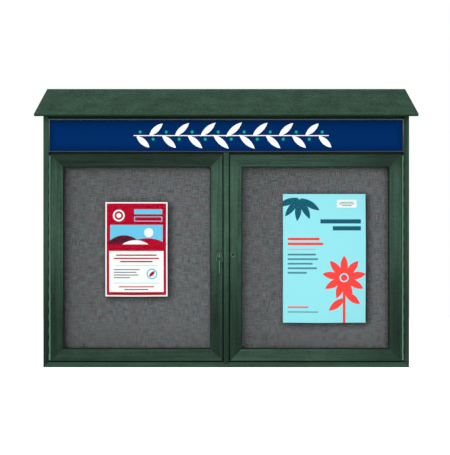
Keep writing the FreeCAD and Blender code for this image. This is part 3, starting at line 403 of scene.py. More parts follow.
def lumber(name, stretch, tone, flecks=0.35, dust=0.06, low_light_share=1.0, top_shade=0.0, rub_and_highlight=0.15,
           rub_and_highlight_width=SMALL_ARRIS, end_shade=0.0):
    """Green recycled-plastic lumber, with its grain along the board. low_light_share is the share
    of its tone that its lower end keeps under painted shade, top_shade and end_shade are how much
    painted shade darkens its top and outer ends, and rub_and_highlight is how pale its arrises are,
    scuffed and with a painted highlight, over rub_and_highlight_width. Its seams, corners and
    undersides get painted shade too."""
    material, tree, shader = blank_material(name)
    place = object_place(tree)
    grain = add(tree, "Group", {"Place": place, "Stretch": stretch, "Flecks": flecks},
                node_tree=PLASTIC_GRAIN)
    wear_and_highlight = add(tree, "Group", {"Place": place, "Width": rub_and_highlight_width}, node_tree=ARRIS_WEAR_AND_HIGHLIGHT)
    dust_and_shade = add(tree, "Group", {"Place": place, "Amount": dust}, node_tree=DUST_AND_UNDER_SHADE)
    fade = add(tree, "Group", {"Place": place}, node_tree=HEIGHT_FADE)
    shade = grain.outputs["Shade"]
    lit_high = blend(tree, shade, scaled(tone, DARK_GRAIN), scaled(tone, PALE_GRAIN))
    shaded_low = blend(tree, shade, scaled(tone, DARK_GRAIN * low_light_share), scaled(tone, PALE_GRAIN * low_light_share))
    # Painted light: the board is darker towards the bottom
    painted_light = blend(tree, fade.outputs["Share"], shaded_low, lit_high)
    # Painted shade under the divider and towards the case's ends
    painted_shade = calculate(
        tree, "MAXIMUM",
        calculate(tree, "MULTIPLY", fade.outputs["Top"], top_shade),
        calculate(tree, "MULTIPLY", fade.outputs["Outer"], end_shade),
    )
    plain = blend(tree, painted_shade, painted_light, scaled(tone, SHADE_TONE_SHARE))
    # Pale arrises, scuffed and with a painted highlight
    rubbed_and_lit = calculate(tree, "MULTIPLY", wear_and_highlight.outputs["Mask"], rub_and_highlight)
    worn_and_lit = blend(tree, rubbed_and_lit, plain, scaled(tone, RUBBED_AND_LIT))
    # Painted shade in seams and corners and on what faces down
    corner_shading = add(tree, "Group", {"Reach": SHADE_REACH}, node_tree=CORNER_SHADE)
    shade_mask = calculate(tree, "MAXIMUM", corner_shading.outputs["Mask"], dust_and_shade.outputs["Under"])
    shade_share = calculate(tree, "MULTIPLY", shade_mask, SHADE_COVER)
    in_shade = blend(tree, shade_share, worn_and_lit, scaled(tone, DEEP_SHADE_TONE))
    tree.links.new(blend(tree, dust_and_shade.outputs["Mask"], in_shade, DUST), shader.inputs["Base Color"])
    tree.links.new(remap(tree, shade, 0.0, 1.0, *LUMBER_ROUGH), shader.inputs["Roughness"])
    tree.links.new(bump(tree, grain.outputs["Height"], 0.25 * MM, 0.6), shader.inputs["Normal"])
    shader.inputs["Specular IOR Level"].default_value = 0.04
    return material


def metal(name, tone, low_rough, high_rough, stretch=ALONG_Z, shade_heights=None):
    """Satin metal with fine scratches. shade_heights are the heights between which it turns from
    painted shade to its full tone."""
    material, tree, shader = blank_material(name)
    place = object_place(tree)
    scratches = add(tree, "Group", {"Place": place, "Stretch": stretch}, node_tree=FINE_SCRATCHES)
    wear_and_highlight = add(tree, "Group", {"Place": place, "Width": METAL_ARRIS}, node_tree=ARRIS_WEAR_AND_HIGHLIGHT)
    drawn = blend(tree, scratches.outputs["Shade"], scaled(tone, SCRATCHED), tone)
    # Painted shade: darker low down, lighter at the top
    if shade_heights:
        inputs = {"Place": place, "Low": shade_heights[0], "High": shade_heights[1]}
        fade = add(tree, "Group", inputs, node_tree=HEIGHT_FADE)
        drawn = blend(tree, fade.outputs["Share"], scaled(tone, SHADED_METAL_SHARE), drawn)
    rubbed_and_lit = calculate(tree, "MULTIPLY", wear_and_highlight.outputs["Mask"], POLISH_COVER)
    tree.links.new(blend(tree, rubbed_and_lit, drawn, scaled(tone, POLISHED)), shader.inputs["Base Color"])
    rough = remap(tree, scratches.outputs["Shade"], 0.3, 0.7, low_rough, high_rough)
    tree.links.new(rough, shader.inputs["Roughness"])
    tree.links.new(bump(tree, scratches.outputs["Shade"], 0.03 * MM, 0.5), shader.inputs["Normal"])
    shader.inputs["Metallic"].default_value = 1.0
    return material


def rubber(name, tone, pore_scale):
    """Black rubber or foam, with pores and a little bloom."""
    material, tree, shader = blank_material(name)
    place = object_place(tree)
    pores = noise(tree, place, pore_scale, 3.0)
    dust_and_shade = add(tree, "Group", {"Place": place, "Amount": 0.15}, node_tree=DUST_AND_UNDER_SHADE)
    plain = blend(tree, remap(tree, pores, 0.35, 0.65, 0.0, 1.0), tone, scaled(tone, 2.2))
    tree.links.new(blend(tree, dust_and_shade.outputs["Mask"], plain, BLOOM), shader.inputs["Base Color"])
    tree.links.new(remap(tree, pores, 0.35, 0.65, 0.85, 0.65), shader.inputs["Roughness"])
    tree.links.new(bump(tree, pores, 0.2 * MM, 0.7), shader.inputs["Normal"])
    shader.inputs["Specular IOR Level"].default_value = 0.2
    return material


# The shade round a notice starts inside its edges and has shifted to its lower right
NOTICE_SHADE_INSET = 20 * MM
NOTICE_SHADE_REACH = 50 * MM
NOTICE_SHADE_DARK = 0.03
NOTICE_SHADE_SHIFT = Vector((9, 0, -5)) * MM


def notice_shade(tree, place, side):
    """The soft shade round a notice, 1 in the open, that lies mostly to its lower right."""
    low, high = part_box(side + "_poster")
    half = (high - low) / 2
    inputs = {
        "Place": place,
        "Centre": (low + high) / 2 + NOTICE_SHADE_SHIFT,
        "Half": (half.x - NOTICE_SHADE_INSET, 0, half.z - NOTICE_SHADE_INSET),
    }
    past = add(tree, "Group", inputs, node_tree=FLAT_SHAPE).outputs["Past"]
    inputs = {0: past, 1: 0.0, 2: NOTICE_SHADE_REACH, 3: NOTICE_SHADE_DARK, 4: 1.0}
    return add(tree, "MapRange", inputs, interpolation_type="SMOOTHSTEP").outputs[0]


# How far from a cloth's left edge its painted shade fades out
CLOTH_EDGE_SHADE = (30 * MM, 88 * MM)


def tack_cloth_material(side, left_share, right_share, edge_share):
    """Grey heather cloth in a plain weave, painted lighter from left to right. left_share,
    right_share and edge_share are how much of its tone it has at its left, its right and its left
    edge, where a painted shade lies."""
    material, tree, shader = blank_material(side + "_grey_cloth")
    place = object_place(tree)
    weave = add(tree, "Group", {"Place": place, "Pitch": WEAVE_PITCH}, node_tree=PLAIN_WEAVE)
    patches = remap(tree, noise(tree, place, 36.0, 3.0), 0.4, 0.6, 0.0, 1.0)
    threads = blend(tree, weave.outputs["Shade"], colour(66, 71, 73), colour(106, 111, 114))
    warmer = blend(tree, weave.outputs["Shade"], colour(72, 69, 72), colour(110, 106, 108))
    low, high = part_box(side + "_tack_fabric")
    across = add(tree, "SeparateXYZ", {0: place}).outputs[0]
    # Painted light, lighter to the right, with a painted shade along the left edge
    painted_light = remap(tree, across, low.x, high.x, left_share, right_share)
    edge = remap(tree, across, low.x + CLOTH_EDGE_SHADE[0], low.x + CLOTH_EDGE_SHADE[1], edge_share, 1.0)
    painted_light = calculate(tree, "MULTIPLY", painted_light, edge)
    light = calculate(tree, "MULTIPLY", painted_light, notice_shade(tree, place, side))
    tree.links.new(move(tree, "MULTIPLY", blend(tree, patches, threads, warmer), light),
                   shader.inputs["Base Color"])
    tree.links.new(bump(tree, weave.outputs["Height"], 0.3 * MM, 0.8), shader.inputs["Normal"])
    shader.inputs["Roughness"].default_value = 0.92
    shader.inputs["Sheen Weight"].default_value = 0.06
    shader.inputs["Specular IOR Level"].default_value = 0.05
    return material


PANE_TINT = (0.97, 0.985, 0.975, 1.0)
PANE_SHADOW_TINT = (0.96, 0.97, 0.965, 1.0)
PANE_IOR = 1.12


def clear_pane_material():
    """Clear polycarbonate. Light on its way to the tackboards goes straight through."""
    material, tree, shader = blank_material("clear_polycarbonate")
    haze = noise(tree, object_place(tree), 5.0, 3.0)
    tree.links.new(remap(tree, haze, 0.35, 0.65, 0.0, 0.03), shader.inputs["Roughness"])
    shader.inputs["Base Color"].default_value = PANE_TINT
    shader.inputs["Metallic"].default_value = 0.0
    shader.inputs["Transmission Weight"].default_value = 1.0
    shader.inputs["IOR"].default_value = PANE_IOR
    passing = add(tree, "BsdfTransparent", {"Color": PANE_SHADOW_TINT})
    path = add(tree, "LightPath").outputs
    lighting = calculate(tree, "MAXIMUM", path["Is Shadow Ray"], path["Is Diffuse Ray"])
    mixed = add(tree, "MixShader", {0: lighting, 1: shader.outputs[0], 2: passing.outputs[0]})
    tree.links.new(mixed.outputs[0], tree.nodes["Material Output"].inputs["Surface"])
    return material


def fibre_material():
    """The tackboard's pressed fibre, which shows at its back."""
    material, tree, shader = blank_material("pressed_fibre")
    place = object_place(tree)
    strands = noise(tree, move(tree, "MULTIPLY", place, (0.3, 1, 1)), 700.0, 4.0)
    tree.links.new(blend(tree, remap(tree, strands, 0.3, 0.7, 0.0, 1.0), colour(116, 92, 62),
                         colour(172, 146, 108)), shader.inputs["Base Color"])
    tree.links.new(bump(tree, strands, 0.4 * MM, 0.7), shader.inputs["Normal"])
    tree.links.new(remap(tree, strands, 0.3, 0.7, 0.95, 0.80), shader.inputs["Roughness"])
    return material


def hook_pad_material():
    material, tree, shader = blank_material("hook_and_loop")
    inputs = {"Vector": object_place(tree), "Scale": 900.0}
    loops = add(tree, "TexVoronoi", inputs).outputs["Distance"]
    tree.links.new(blend(tree, loops, colour(12, 12, 13), colour(52, 52, 54)),
                   shader.inputs["Base Color"])
    tree.links.new(bump(tree, loops, 0.4 * MM, 0.9), shader.inputs["Normal"])
    tree.links.new(remap(tree, loops, 0.0, 1.0, 0.95, 0.8), shader.inputs["Roughness"])
    return material


# Printed and painted designs, in millimetres from the middle of what they are printed on

def bar(x, z, half_width, half_height, tone, corner=0.8):
    half = (half_width, half_height)
    return {"kind": "bar", "at": (x, z), "half": half, "corner": corner, "tone": tone}


def disc(x, z, radius, tone):
    return bar(x, z, 0, 0, tone, radius)


def leaf(x, z, length, width, degrees, tone):
    size = {"length": length, "width": width, "turn": degrees}
    return {"kind": "leaf", "at": (x, z), "tone": tone, **size}


def shape_mask(tree, place, centre, half, corner):
    inputs = {
        "Place": place,
        "Centre": (centre[0] * MM, 0, centre[1] * MM),
        "Half": (half[0] * MM, 0, half[1] * MM),
        "Corner": corner * MM,
    }
    return add(tree, "Group", inputs, node_tree=FLAT_SHAPE).outputs["Mask"]


def mask_of(tree, place, shape):
    """A leaf is what two large discs share."""
    if shape["kind"] == "bar":
        return shape_mask(tree, place, shape["at"], shape["half"], shape["corner"])
    length, width, turn = shape["length"], shape["width"], math.radians(shape["turn"])
    radius = (length ** 2 + width ** 2) / (4 * width)
    reach = radius - width / 2
    x, z = shape["at"]
    masks = []
    for side in (-1, 1):
        centre = (x - side * reach * math.sin(turn), z + side * reach * math.cos(turn))
        masks.append(shape_mask(tree, place, centre, (0, 0), radius))
    return calculate(tree, "MULTIPLY", *masks)


def printed(name, middle, ground, shapes, rough, edge_shade=None):
    """A sheet or panel of one ground colour, with shapes printed over it in order. An edge_shade
    is a painted shade that fades to its own tone from its inner half size out."""
    material, tree, shader = blank_material(name)
    place = object_place(tree)
    local = move(tree, "SUBTRACT", place, (middle.x, 0, middle.z))
    ink = add(tree, "RGB")
    ink.outputs[0].default_value = ground
    ink = ink.outputs[0]
    # The edge shade darkens the panel towards its edges as painted shade
    if edge_shade:
        half = [size * MM for size in edge_shade["half"]]
        inputs = {"Place": local, "Half": (half[0], 0, half[1])}
        past = add(tree, "Group", inputs, node_tree=FLAT_SHAPE).outputs["Past"]
        share = remap(tree, past, 0.0, edge_shade["fade"] * MM, 0.0, 1.0)
        ink = blend(tree, share, ink, edge_shade["tone"])
    for shape in shapes:
        ink = blend(tree, mask_of(tree, local, shape), ink, shape["tone"])
    mottle = noise(tree, place, 420.0, 3.0)
    tree.links.new(ink, shader.inputs["Base Color"])
    tree.links.new(remap(tree, mottle, 0.3, 0.7, rough, rough + 0.12), shader.inputs["Roughness"])
    tree.links.new(bump(tree, mottle, 0.05 * MM, 0.4), shader.inputs["Normal"])
    shader.inputs["Specular IOR Level"].default_value = 0.02
    return material


WHITE = colour(242, 243, 242)
CRIMSON = colour(176, 0, 36)
SKY = colour(103, 195, 230)
PLUM = colour(86, 16, 38)
TEXT_GREY = colour(120, 120, 128)
PALE_CYAN = colour(149, 227, 237)
CORAL = colour(251, 69, 64)
TEAL = colour(20, 89, 110)
SOFT_TEAL = colour(76, 132, 151)
SIGN_BLUE = colour(0, 40, 93)
# The sign's blue at its edges, darkened as painted shade
SIGN_SHADE_BLUE = colour(0, 32, 74)
SIGN_TEAL = colour(20, 160, 152)


def spray(x, z, reach, turns, length, width, tone):
    """Leaves round a middle, one pointing outwards at each turn in degrees."""
    leaves = []
    for turn in turns:
        angle = math.radians(turn)
        place = (x + reach * math.cos(angle), z + reach * math.sin(angle))
        leaves.append(leaf(*place, length, width, turn, tone))
    return leaves


def text_lines(x, z, widths, pitch, half_height, tone, align=0.0):
    """Plain bars where lines of words would be. align is -1, 0 or 1 for left, middle or right."""
    lines = []
    for row, width in enumerate(widths):
        lines.append(bar(x - align * width / 2, z - row * pitch, width / 2, half_height, tone, 0.3))
    return lines


def left_notice_shapes():
    """A crimson sheet: hills and a rising disc in a picture, over a white panel."""
    shapes = [bar(0, 0, 111, 171, CRIMSON, 0.1)]
    shapes += text_lines(44, 140, [104], 0, 9, SKY)
    shapes += text_lines(44, 113, [104], 0, 9, SKY)
    shapes += text_lines(44, 113, [98], 0, 6.4, CRIMSON)
    shapes += [disc(-66, 126, 22, WHITE), disc(-66, 126, 16, CRIMSON), disc(-66, 126, 9, WHITE)]
    shapes += [bar(0, 55, 98, 36, SKY, 0.1), disc(46, 62, 17, WHITE)]
    shapes += [leaf(-46, 19, 130, 66, 0, PLUM), leaf(40, 19, 150, 44, 0, CRIMSON)]
    shapes += [leaf(-4, 19, 96, 30, 0, WHITE), bar(0, 1, 108, 17, CRIMSON, 0.1)]
    shapes += [bar(0, -83, 101, 76, WHITE, 0.5)]
    shapes += text_lines(0, -22, [150, 168, 120], 12, 2.2, CRIMSON)
    shapes += [bar(0, -60, 78, 0.6, SKY, 0.2)]
    shapes += text_lines(-84, -76, [96, 84, 90, 60], 10, 1.6, TEXT_GREY, -1.0)
    shapes += [disc(58, -92, 20, SKY), disc(58, -92, 15, WHITE), leaf(58, -92, 30, 12, 45, CRIMSON)]
    shapes += [bar(0, -126, 84, 0.6, SKY, 0.2)]
    shapes += text_lines(0, -140, [130, 88], 10, 1.6, CRIMSON)
    return shapes


def right_notice_shapes():
    """A pale cyan sheet: a coral flower at the lower right and teal leaves at the upper left."""
    shapes = [bar(74, -176, 4, 66, CORAL, 1.0)]
    shapes += [leaf(46, -172, 74, 26, 38, CORAL), leaf(104, -148, 74, 26, 142, CORAL)]
    petals = 9
    shapes += spray(74, -72, 44, [90 + 360 * k / petals for k in range(petals)], 76, 27, CORAL)
    shapes += [disc(74, -72, 17, PALE_CYAN), disc(74, -72, 12, CORAL)]
    shapes += spray(-92, 226, 46, (200, 232, 264, 296, 328), 84, 24, TEAL)
    shapes += [bar(84, 204, 36, 14, WHITE, 0.5)]
    shapes += text_lines(84, 209, [48, 56, 36], 6, 1.0, SOFT_TEAL)
    shapes += text_lines(136, 138, [150, 104], 26, 7.5, TEAL, 1.0)
    shapes += text_lines(-136, 72, [118, 132], 18, 4.4, CORAL, -1.0)
    shapes += [bar(-84, 34, 52, 0.9, CORAL, 0.2)]
    shapes += text_lines(-136, 14, [104, 112, 92, 108, 70], 17, 3.0, SOFT_TEAL, -1.0)
    shapes += text_lines(-136, -182, [76], 0, 2.4, CORAL, -1.0)
    shapes += text_lines(-136, -200, [112], 0, 1.6, SOFT_TEAL, -1.0)
    return shapes


# How far in from the sign's edges its painted shade reaches
SIGN_EDGE_SHADE = 26.0


def header_shapes():
    """A garland of white leaves with round teal berries, along the middle of the sign."""
    shapes = [bar(18, 0, 352, 0.8, WHITE, 0.8)]
    pitch, leaves = 47.0, 15
    for k in range(leaves):
        x = 10 + (k - (leaves - 1) / 2) * pitch
        side = 1 if k % 2 else -1
        size = 78 - 2.2 * abs(k - (leaves - 1) / 2)
        shapes.append(leaf(x + 18, side * 22, size, 21, side * 42, WHITE))
        shapes.append(disc(x + 8, -side * 13, 5.4, SIGN_TEAL))
    return shapes


# Pieces

SHARP = math.radians(28)
FLAT = math.radians(0.5)
ARRIS_TURNS = 2
SMOOTH_DEGREES = 35
WELD = 0.001 * MM

# How far the arrises of each kind of piece are eased, and the shortest that are
OUTER_EASE = 2.0 * MM
MULLION_EASE = 1.5 * MM
INNER_EASE = 0.9 * MM
DOOR_EASE = 0.5 * MM
CAM_EASE = 0.25 * MM
KEY_EASE = 0.2 * MM
CASE_SHORTEST = 200 * MM
ROOF_SHORTEST = 100 * MM
DOOR_SHORTEST = 12 * MM


def finish_piece(name, solid, material, slot, body, *stands_for):
    """Turns a bmesh into a piece that rides on its body."""
    mesh = bpy.data.meshes.new(name)
    solid.to_mesh(mesh)
    solid.free()
    mesh.materials.append(material)
    piece = bpy.data.objects.new(name, mesh)
    bpy.context.scene.collection.objects.link(piece)
    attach(piece, body)
    if stands_for:
        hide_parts(*stands_for)
    return piece


def smooth(piece, degrees=SMOOTH_DEGREES):
    for face in piece.data.polygons:
        face.use_smooth = True
    piece.data.set_sharp_from_angle(angle=math.radians(degrees))


def crisp_rim(piece):
    """Keeps the cut edge of a sheet from shading its face."""
    faces_on = Counter(key for face in piece.data.polygons for key in face.edge_keys)
    for edge in piece.data.edges:
        if faces_on[edge.key] == 1:
            edge.use_edge_sharp = True


def body_of(node):
    bodies = frame["record"]["behaviour"]["bodies"]
    return next(body for body, nodes in bodies.items() if node in nodes)


def slot_of(node):
    return next(s["material_slot"] for s in frame["record"]["subparts"] if s["node"] == node)


def eased(node, material, width, shortest=0.0):
    """The CAD piece with its arrises eased. Edges under `shortest`, such as a mitre's or a screw
    hole's, stay crisp."""
    solid = bmesh.new()
    solid.from_mesh(frame["nodes"][node].data)
    bmesh.ops.remove_doubles(solid, verts=solid.verts, dist=WELD)
    bmesh.ops.dissolve_limit(solid, angle_limit=FLAT, verts=solid.verts, edges=solid.edges)
    arrises = [
        e for e in solid.edges
        if len(e.link_faces) == 2 and e.calc_face_angle(0) > SHARP and e.calc_length() > shortest
    ]
    bmesh.ops.bevel(solid, geom=arrises, offset=width, segments=ARRIS_TURNS, profile=0.5,
                    affect="EDGES", clamp_overlap=True)
    bmesh.ops.triangulate(solid, faces=[f for f in solid.faces if len(f.verts) > 4])
    return finish_piece(node + ".eased", solid, material, slot_of(node), body_of(node), node)


def dress(node, material):
    for slot in frame["nodes"][node].material_slots:
        slot.material = material


def grid_of(solid, columns, rows, point, keep=lambda column, row: True):
    """Quads over columns by rows of points, where point(column, row) gives the place of each."""
    verts = [[solid.verts.new(point(i, j)) for j in range(rows)] for i in range(columns)]
    for i in range(columns - 1):
        for j in range(rows - 1):
            if keep(i, j):
                here, there = verts[i], verts[i + 1]
                solid.faces.new((here[j], there[j], there[j + 1], here[j + 1]))


def quarter_round(radius, turns):
    """Points round an arris, from its face to its side: how far each is in from the side, and how
    far back from the face."""
    angles = [math.pi / 2 * k / turns for k in range(turns + 1)]
    return [(radius * (1 - math.sin(a)), radius * (1 - math.cos(a))) for a in angles]


CLOTH_THICK = 0.9 * MM
CLOTH_ROUND = 2.5 * MM
CLOTH_TURNS = 4
CLOTH_CELL = 40 * MM


def wrap_steps(low, high, depth):
    """Places along one direction of a wrapped cloth, each with how far it has turned back."""
    round_over = quarter_round(CLOTH_ROUND, CLOTH_TURNS)
    side = [(0.0, depth), (0.0, (depth + CLOTH_ROUND) / 2)] + round_over[::-1]
    cells = round((high - low) / CLOTH_CELL)
    first, last = low + CLOTH_ROUND, high - CLOTH_ROUND
    middle = [(first + (last - first) * k / cells, 0.0) for k in range(1, cells)]
    return (
        [(low + inset, drop) for inset, drop in side]
        + middle
        + [(high - inset, drop) for inset, drop in side[::-1]]
    )


def tack_cloth(side, material):
    """One cloth pulled over a tackboard's front and round its four edges, its corners cut out."""
    node = side + "_tack_fabric"
    low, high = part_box(node)
    depth = high.y - low.y
    across = wrap_steps(low.x, high.x, depth)
    along = wrap_steps(low.z, high.z, depth)

    def point(i, j):
        return Vector((across[i][0], low.y + max(across[i][1], along[j][1]), along[j][0]))

    def turned_back(steps, k):
        return max(steps[k][1], steps[k + 1][1]) > CLOTH_ROUND

    def keep(i, j):
        return not (turned_back(across, i) and turned_back(along, j))

    solid = bmesh.new()
    grid_of(solid, len(across), len(along), point, keep)
    bmesh.ops.remove_doubles(solid, verts=solid.verts, dist=WELD)
    bmesh.ops.dissolve_degenerate(solid, edges=solid.edges, dist=WELD)
    bmesh.ops.recalc_face_normals(solid, faces=solid.faces)
    piece = finish_piece(side + "_tack_cloth", solid, material, "grey_fabric", "case", node)
    if piece.data.polygons[len(piece.data.polygons) // 2].normal.y > 0:
        piece.data.flip_normals()
    skin = piece.modifiers.new("thickness", "SOLIDIFY")
    skin.thickness = CLOTH_THICK
    smooth(piece)
    return piece


PAPER_THICK = 0.2 * MM
PAPER_CELLS = 24
PAPER_BOW = 0.9 * MM
PAPER_BELLY = 1.2 * MM
PAPER_CURL = 4.0 * MM
PAPER_RIPPLE = 0.35
PAPER_WAVES = (5, 3)
PAPER_GAP = 0.05 * MM


def notice(side, material):
    """A sheet of paper, stapled at its corners, that bows off the cloth between them and curls up
    most along its right and lower edges."""
    node = side + "_poster"
    low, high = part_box(node)

    def point(i, j):
        u, v = i / PAPER_CELLS, j / PAPER_CELLS
        lift = PAPER_BOW * math.sin(math.pi * u) ** 2 + PAPER_BELLY * math.sin(math.pi * v) ** 2
        lift += PAPER_CURL * u ** 3 * math.sin(math.pi * v) ** 2
        lift += PAPER_CURL * (1 - v) ** 3 * math.sin(math.pi * u) ** 2
        ripple = 1 + PAPER_RIPPLE * math.sin(PAPER_WAVES[0] * u + PAPER_WAVES[1] * v)
        x, z = low.x + (high.x - low.x) * u, low.z + (high.z - low.z) * v
        return Vector((x, high.y - PAPER_GAP - PAPER_THICK - lift * ripple, z))

    solid = bmesh.new()
    grid_of(solid, PAPER_CELLS + 1, PAPER_CELLS + 1, point)
    bmesh.ops.recalc_face_normals(solid, faces=solid.faces)
    piece = finish_piece(side + "_notice", solid, material, slot_of(node), "case", node)
    if piece.data.polygons[0].normal.y > 0:
        piece.data.flip_normals()
    skin = piece.modifiers.new("thickness", "SOLIDIFY")
    skin.thickness = PAPER_THICK
    smooth(piece)
    crisp_rim(piece)
    return piece


TURN_STEPS = 64


def turned(name, profile, axis_x, axis_z, material, slot, body, *stands_for):
    """A closed outline of (radius, y) turned about an axis along Y."""
    solid = bmesh.new()
    rings = []
    for radius, y in profile:
        ring = []
        for k in range(TURN_STEPS):
            angle = 2 * math.pi * k / TURN_STEPS
            x, z = axis_x + radius * math.cos(angle), axis_z + radius * math.sin(angle)
            ring.append(solid.verts.new((x, y, z)))
        rings.append(ring)
    for a, b in zip(rings, rings[1:] + rings[:1]):
        for k in range(TURN_STEPS):
            n = (k + 1) % TURN_STEPS
            solid.faces.new((a[k], a[n], b[n], b[k]))
    bmesh.ops.recalc_face_normals(solid, faces=solid.faces)
    piece = finish_piece(name, solid, material, slot, body, *stands_for)
    smooth(piece)
    return piece


LOCK_PLUG_HEAD_R = 6.05 * MM
LOCK_BORE_R = 5.05 * MM
LOCK_RECESS = 1.5 * MM
LOCK_DOME = 1.0 * MM
LOCK_DOME_TURNS = 4
LOCK_FLANGE = 3.0 * MM
LOCK_BARREL_R = 7.0 * MM
LOCK_THREAD = 0.35 * MM
LOCK_THREAD_PITCH = 1.0 * MM
LOCK_THREAD_START = 3.0 * MM


def lock_body(side, material):
    """The domed face, flange and threaded barrel round the plug."""
    node = side + "_lock_body"
    low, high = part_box(node)
    outer = (high.x - low.x) / 2
    face, seat, end = low.y, low.y + LOCK_FLANGE, high.y
    dome = quarter_round(LOCK_DOME, LOCK_DOME_TURNS)
    profile = [(LOCK_PLUG_HEAD_R, face)] + [(outer - inset, face + drop) for inset, drop in dome]
    profile += [(outer, seat), (LOCK_BARREL_R, seat), (LOCK_BARREL_R, seat + LOCK_THREAD_START)]
    y = seat + LOCK_THREAD_START
    while y + LOCK_THREAD_PITCH < end:
        profile.append((LOCK_BARREL_R - LOCK_THREAD, y + LOCK_THREAD_PITCH / 2))
        profile.append((LOCK_BARREL_R, y + LOCK_THREAD_PITCH))
        y += LOCK_THREAD_PITCH
    profile += [(LOCK_BARREL_R - LOCK_THREAD, end), (LOCK_BORE_R, end)]
    profile += [(LOCK_BORE_R, face + LOCK_RECESS), (LOCK_PLUG_HEAD_R, face + LOCK_RECESS)]
    middle = (low + high) / 2
    return turned(side + "_lock_case", profile, middle.x, middle.z, material, "lock_nickel",
                  side + "_door", node)


RING_TURNS = 2
RING_STEPS = 72
RING_WIRE_SIDES = 10
RING_CROSSING = 6
RING_SMOOTH_DEGREES = 50


def split_ring(material):
    """Two turns of round wire, pressed flat against each other."""
    low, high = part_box("key_ring")
    middle = (low + high) / 2
    wire = (high.y - low.y) / (2 * RING_TURNS)
    radius = (high.x - low.x) / 2 - (high.y - low.y) / 2
    steps = RING_TURNS * RING_STEPS
    reach = (high.y - low.y) / 2 - wire

    def point(i, j):
        angle = 2 * math.pi * RING_TURNS * i / steps
        across = 2 * math.pi * j / RING_WIRE_SIDES
        share = min(1.0, max(0.0, (i / steps - 0.5) * RING_CROSSING + 0.5))
        y = middle.y + reach * (2 * share - 1) + wire * math.sin(across)
        r = radius + wire * math.cos(across)
        return Vector((middle.x + r * math.sin(angle), y, middle.z + r * math.cos(angle)))

    solid = bmesh.new()
    grid_of(solid, steps + 1, RING_WIRE_SIDES + 1, point)
    bmesh.ops.remove_doubles(solid, verts=solid.verts, dist=WELD)
    bmesh.ops.holes_fill(solid, edges=solid.edges, sides=RING_WIRE_SIDES)
    bmesh.ops.recalc_face_normals(solid, faces=solid.faces)
    piece = finish_piece("split_ring_wire", solid, material, "ring_steel", "split_ring", "key_ring")
    smooth(piece, RING_SMOOTH_DEGREES)
    return piece


# Looks

# Between which heights the sign's frame turns from painted shade to its full tone
SIGN_FRAME_SHADE_HEIGHTS = (0.43, 0.54)
SIGN_ROUGH = 0.45
PAPER_ROUGH = 0.4

# How much of its tone each cloth has at its left, at its right and at its left edge, as painted
# light and shade
CLOTH_PAINTED_LIGHT = {"left": (0.95, 1.12, 1.0), "right": (0.9, 1.22, 0.5)}

# Each rail's tone, darker on top as painted shade, and how much painted shade darkens its outer end
RAIL_LOOKS = {
    "left_top_rail": (colour(33, 47, 39), 0.0),
    "left_bottom_rail": (colour(41, 58, 48), 0.0),
    "right_top_rail": (colour(47, 68, 57), 0.7),
    "right_bottom_rail": (colour(51, 73, 61), 0.7),
}

# Each side board's tone, and how much of it is left at its lower end under painted shade
SIDE_BOARD_LOOKS = {
    "left_side_board": (colour(51, 74, 62), 0.32),
    "right_side_board": (colour(44, 65, 54), 0.77),
}

# UPRIGHT, on the mullion and lock stiles, is lighter than OUTER and STILE as painted light
UPRIGHT = lumber("green_lumber_upright", ALONG_Z, colour(57, 82, 69), low_light_share=0.36, top_shade=0.6)
OUTER = lumber("green_lumber_outer_upright", ALONG_Z, colour(51, 74, 62), low_light_share=0.42)
STILE = lumber("green_lumber_stile", ALONG_Z, colour(51, 74, 62), low_light_share=0.42, top_shade=0.7)
LEVEL = lumber("green_lumber_level", ALONG_X, colour(47, 68, 57))
# The divider's board is darkened as painted shade in the recess under the sign
SHADED = lumber("green_lumber_divider", ALONG_X, colour(30, 42, 35))
# The roof's eave has a painted highlight along its arris
ROOFING = lumber("green_lumber_roof", ALONG_X, colour(47, 74, 59), flecks=0.8, dust=0.02,
                 rub_and_highlight=0.5, rub_and_highlight_width=ROOF_HIGHLIGHT_WIDTH)
HINGE = metal("hinge_satin", colour(96, 134, 115), 0.32, 0.5)
NICKEL = metal("lock_nickel", colour(100, 128, 114), 0.22, 0.38, ALONG_Y)
DULL_NICKEL = metal("plug_nickel", colour(52, 68, 60), 0.35, 0.5, ALONG_Y)
KEY_NICKEL = metal("key_nickel", colour(120, 150, 134), 0.25, 0.42)
ZINC = metal("zinc_plate", colour(176, 180, 184), 0.3, 0.5)
STAINLESS = metal("stainless", colour(170, 174, 176), 0.25, 0.4)
BRONZE = metal("bronze_anodised", colour(140, 139, 122), 0.5, 0.66, ALONG_X, SIGN_FRAME_SHADE_HEIGHTS)
# The gasket is dark rubber, tinted green as painted shade of the frame's lip round the pane
GASKET_RUBBER = rubber("black_rubber", colour(10, 20, 14), 800.0)
FOAM = rubber("black_foam", colour(20, 20, 21), 1500.0)
PANE = clear_pane_material()
FIBRE = fibre_material()
HOOK_PAD = hook_pad_material()


# Assemblies

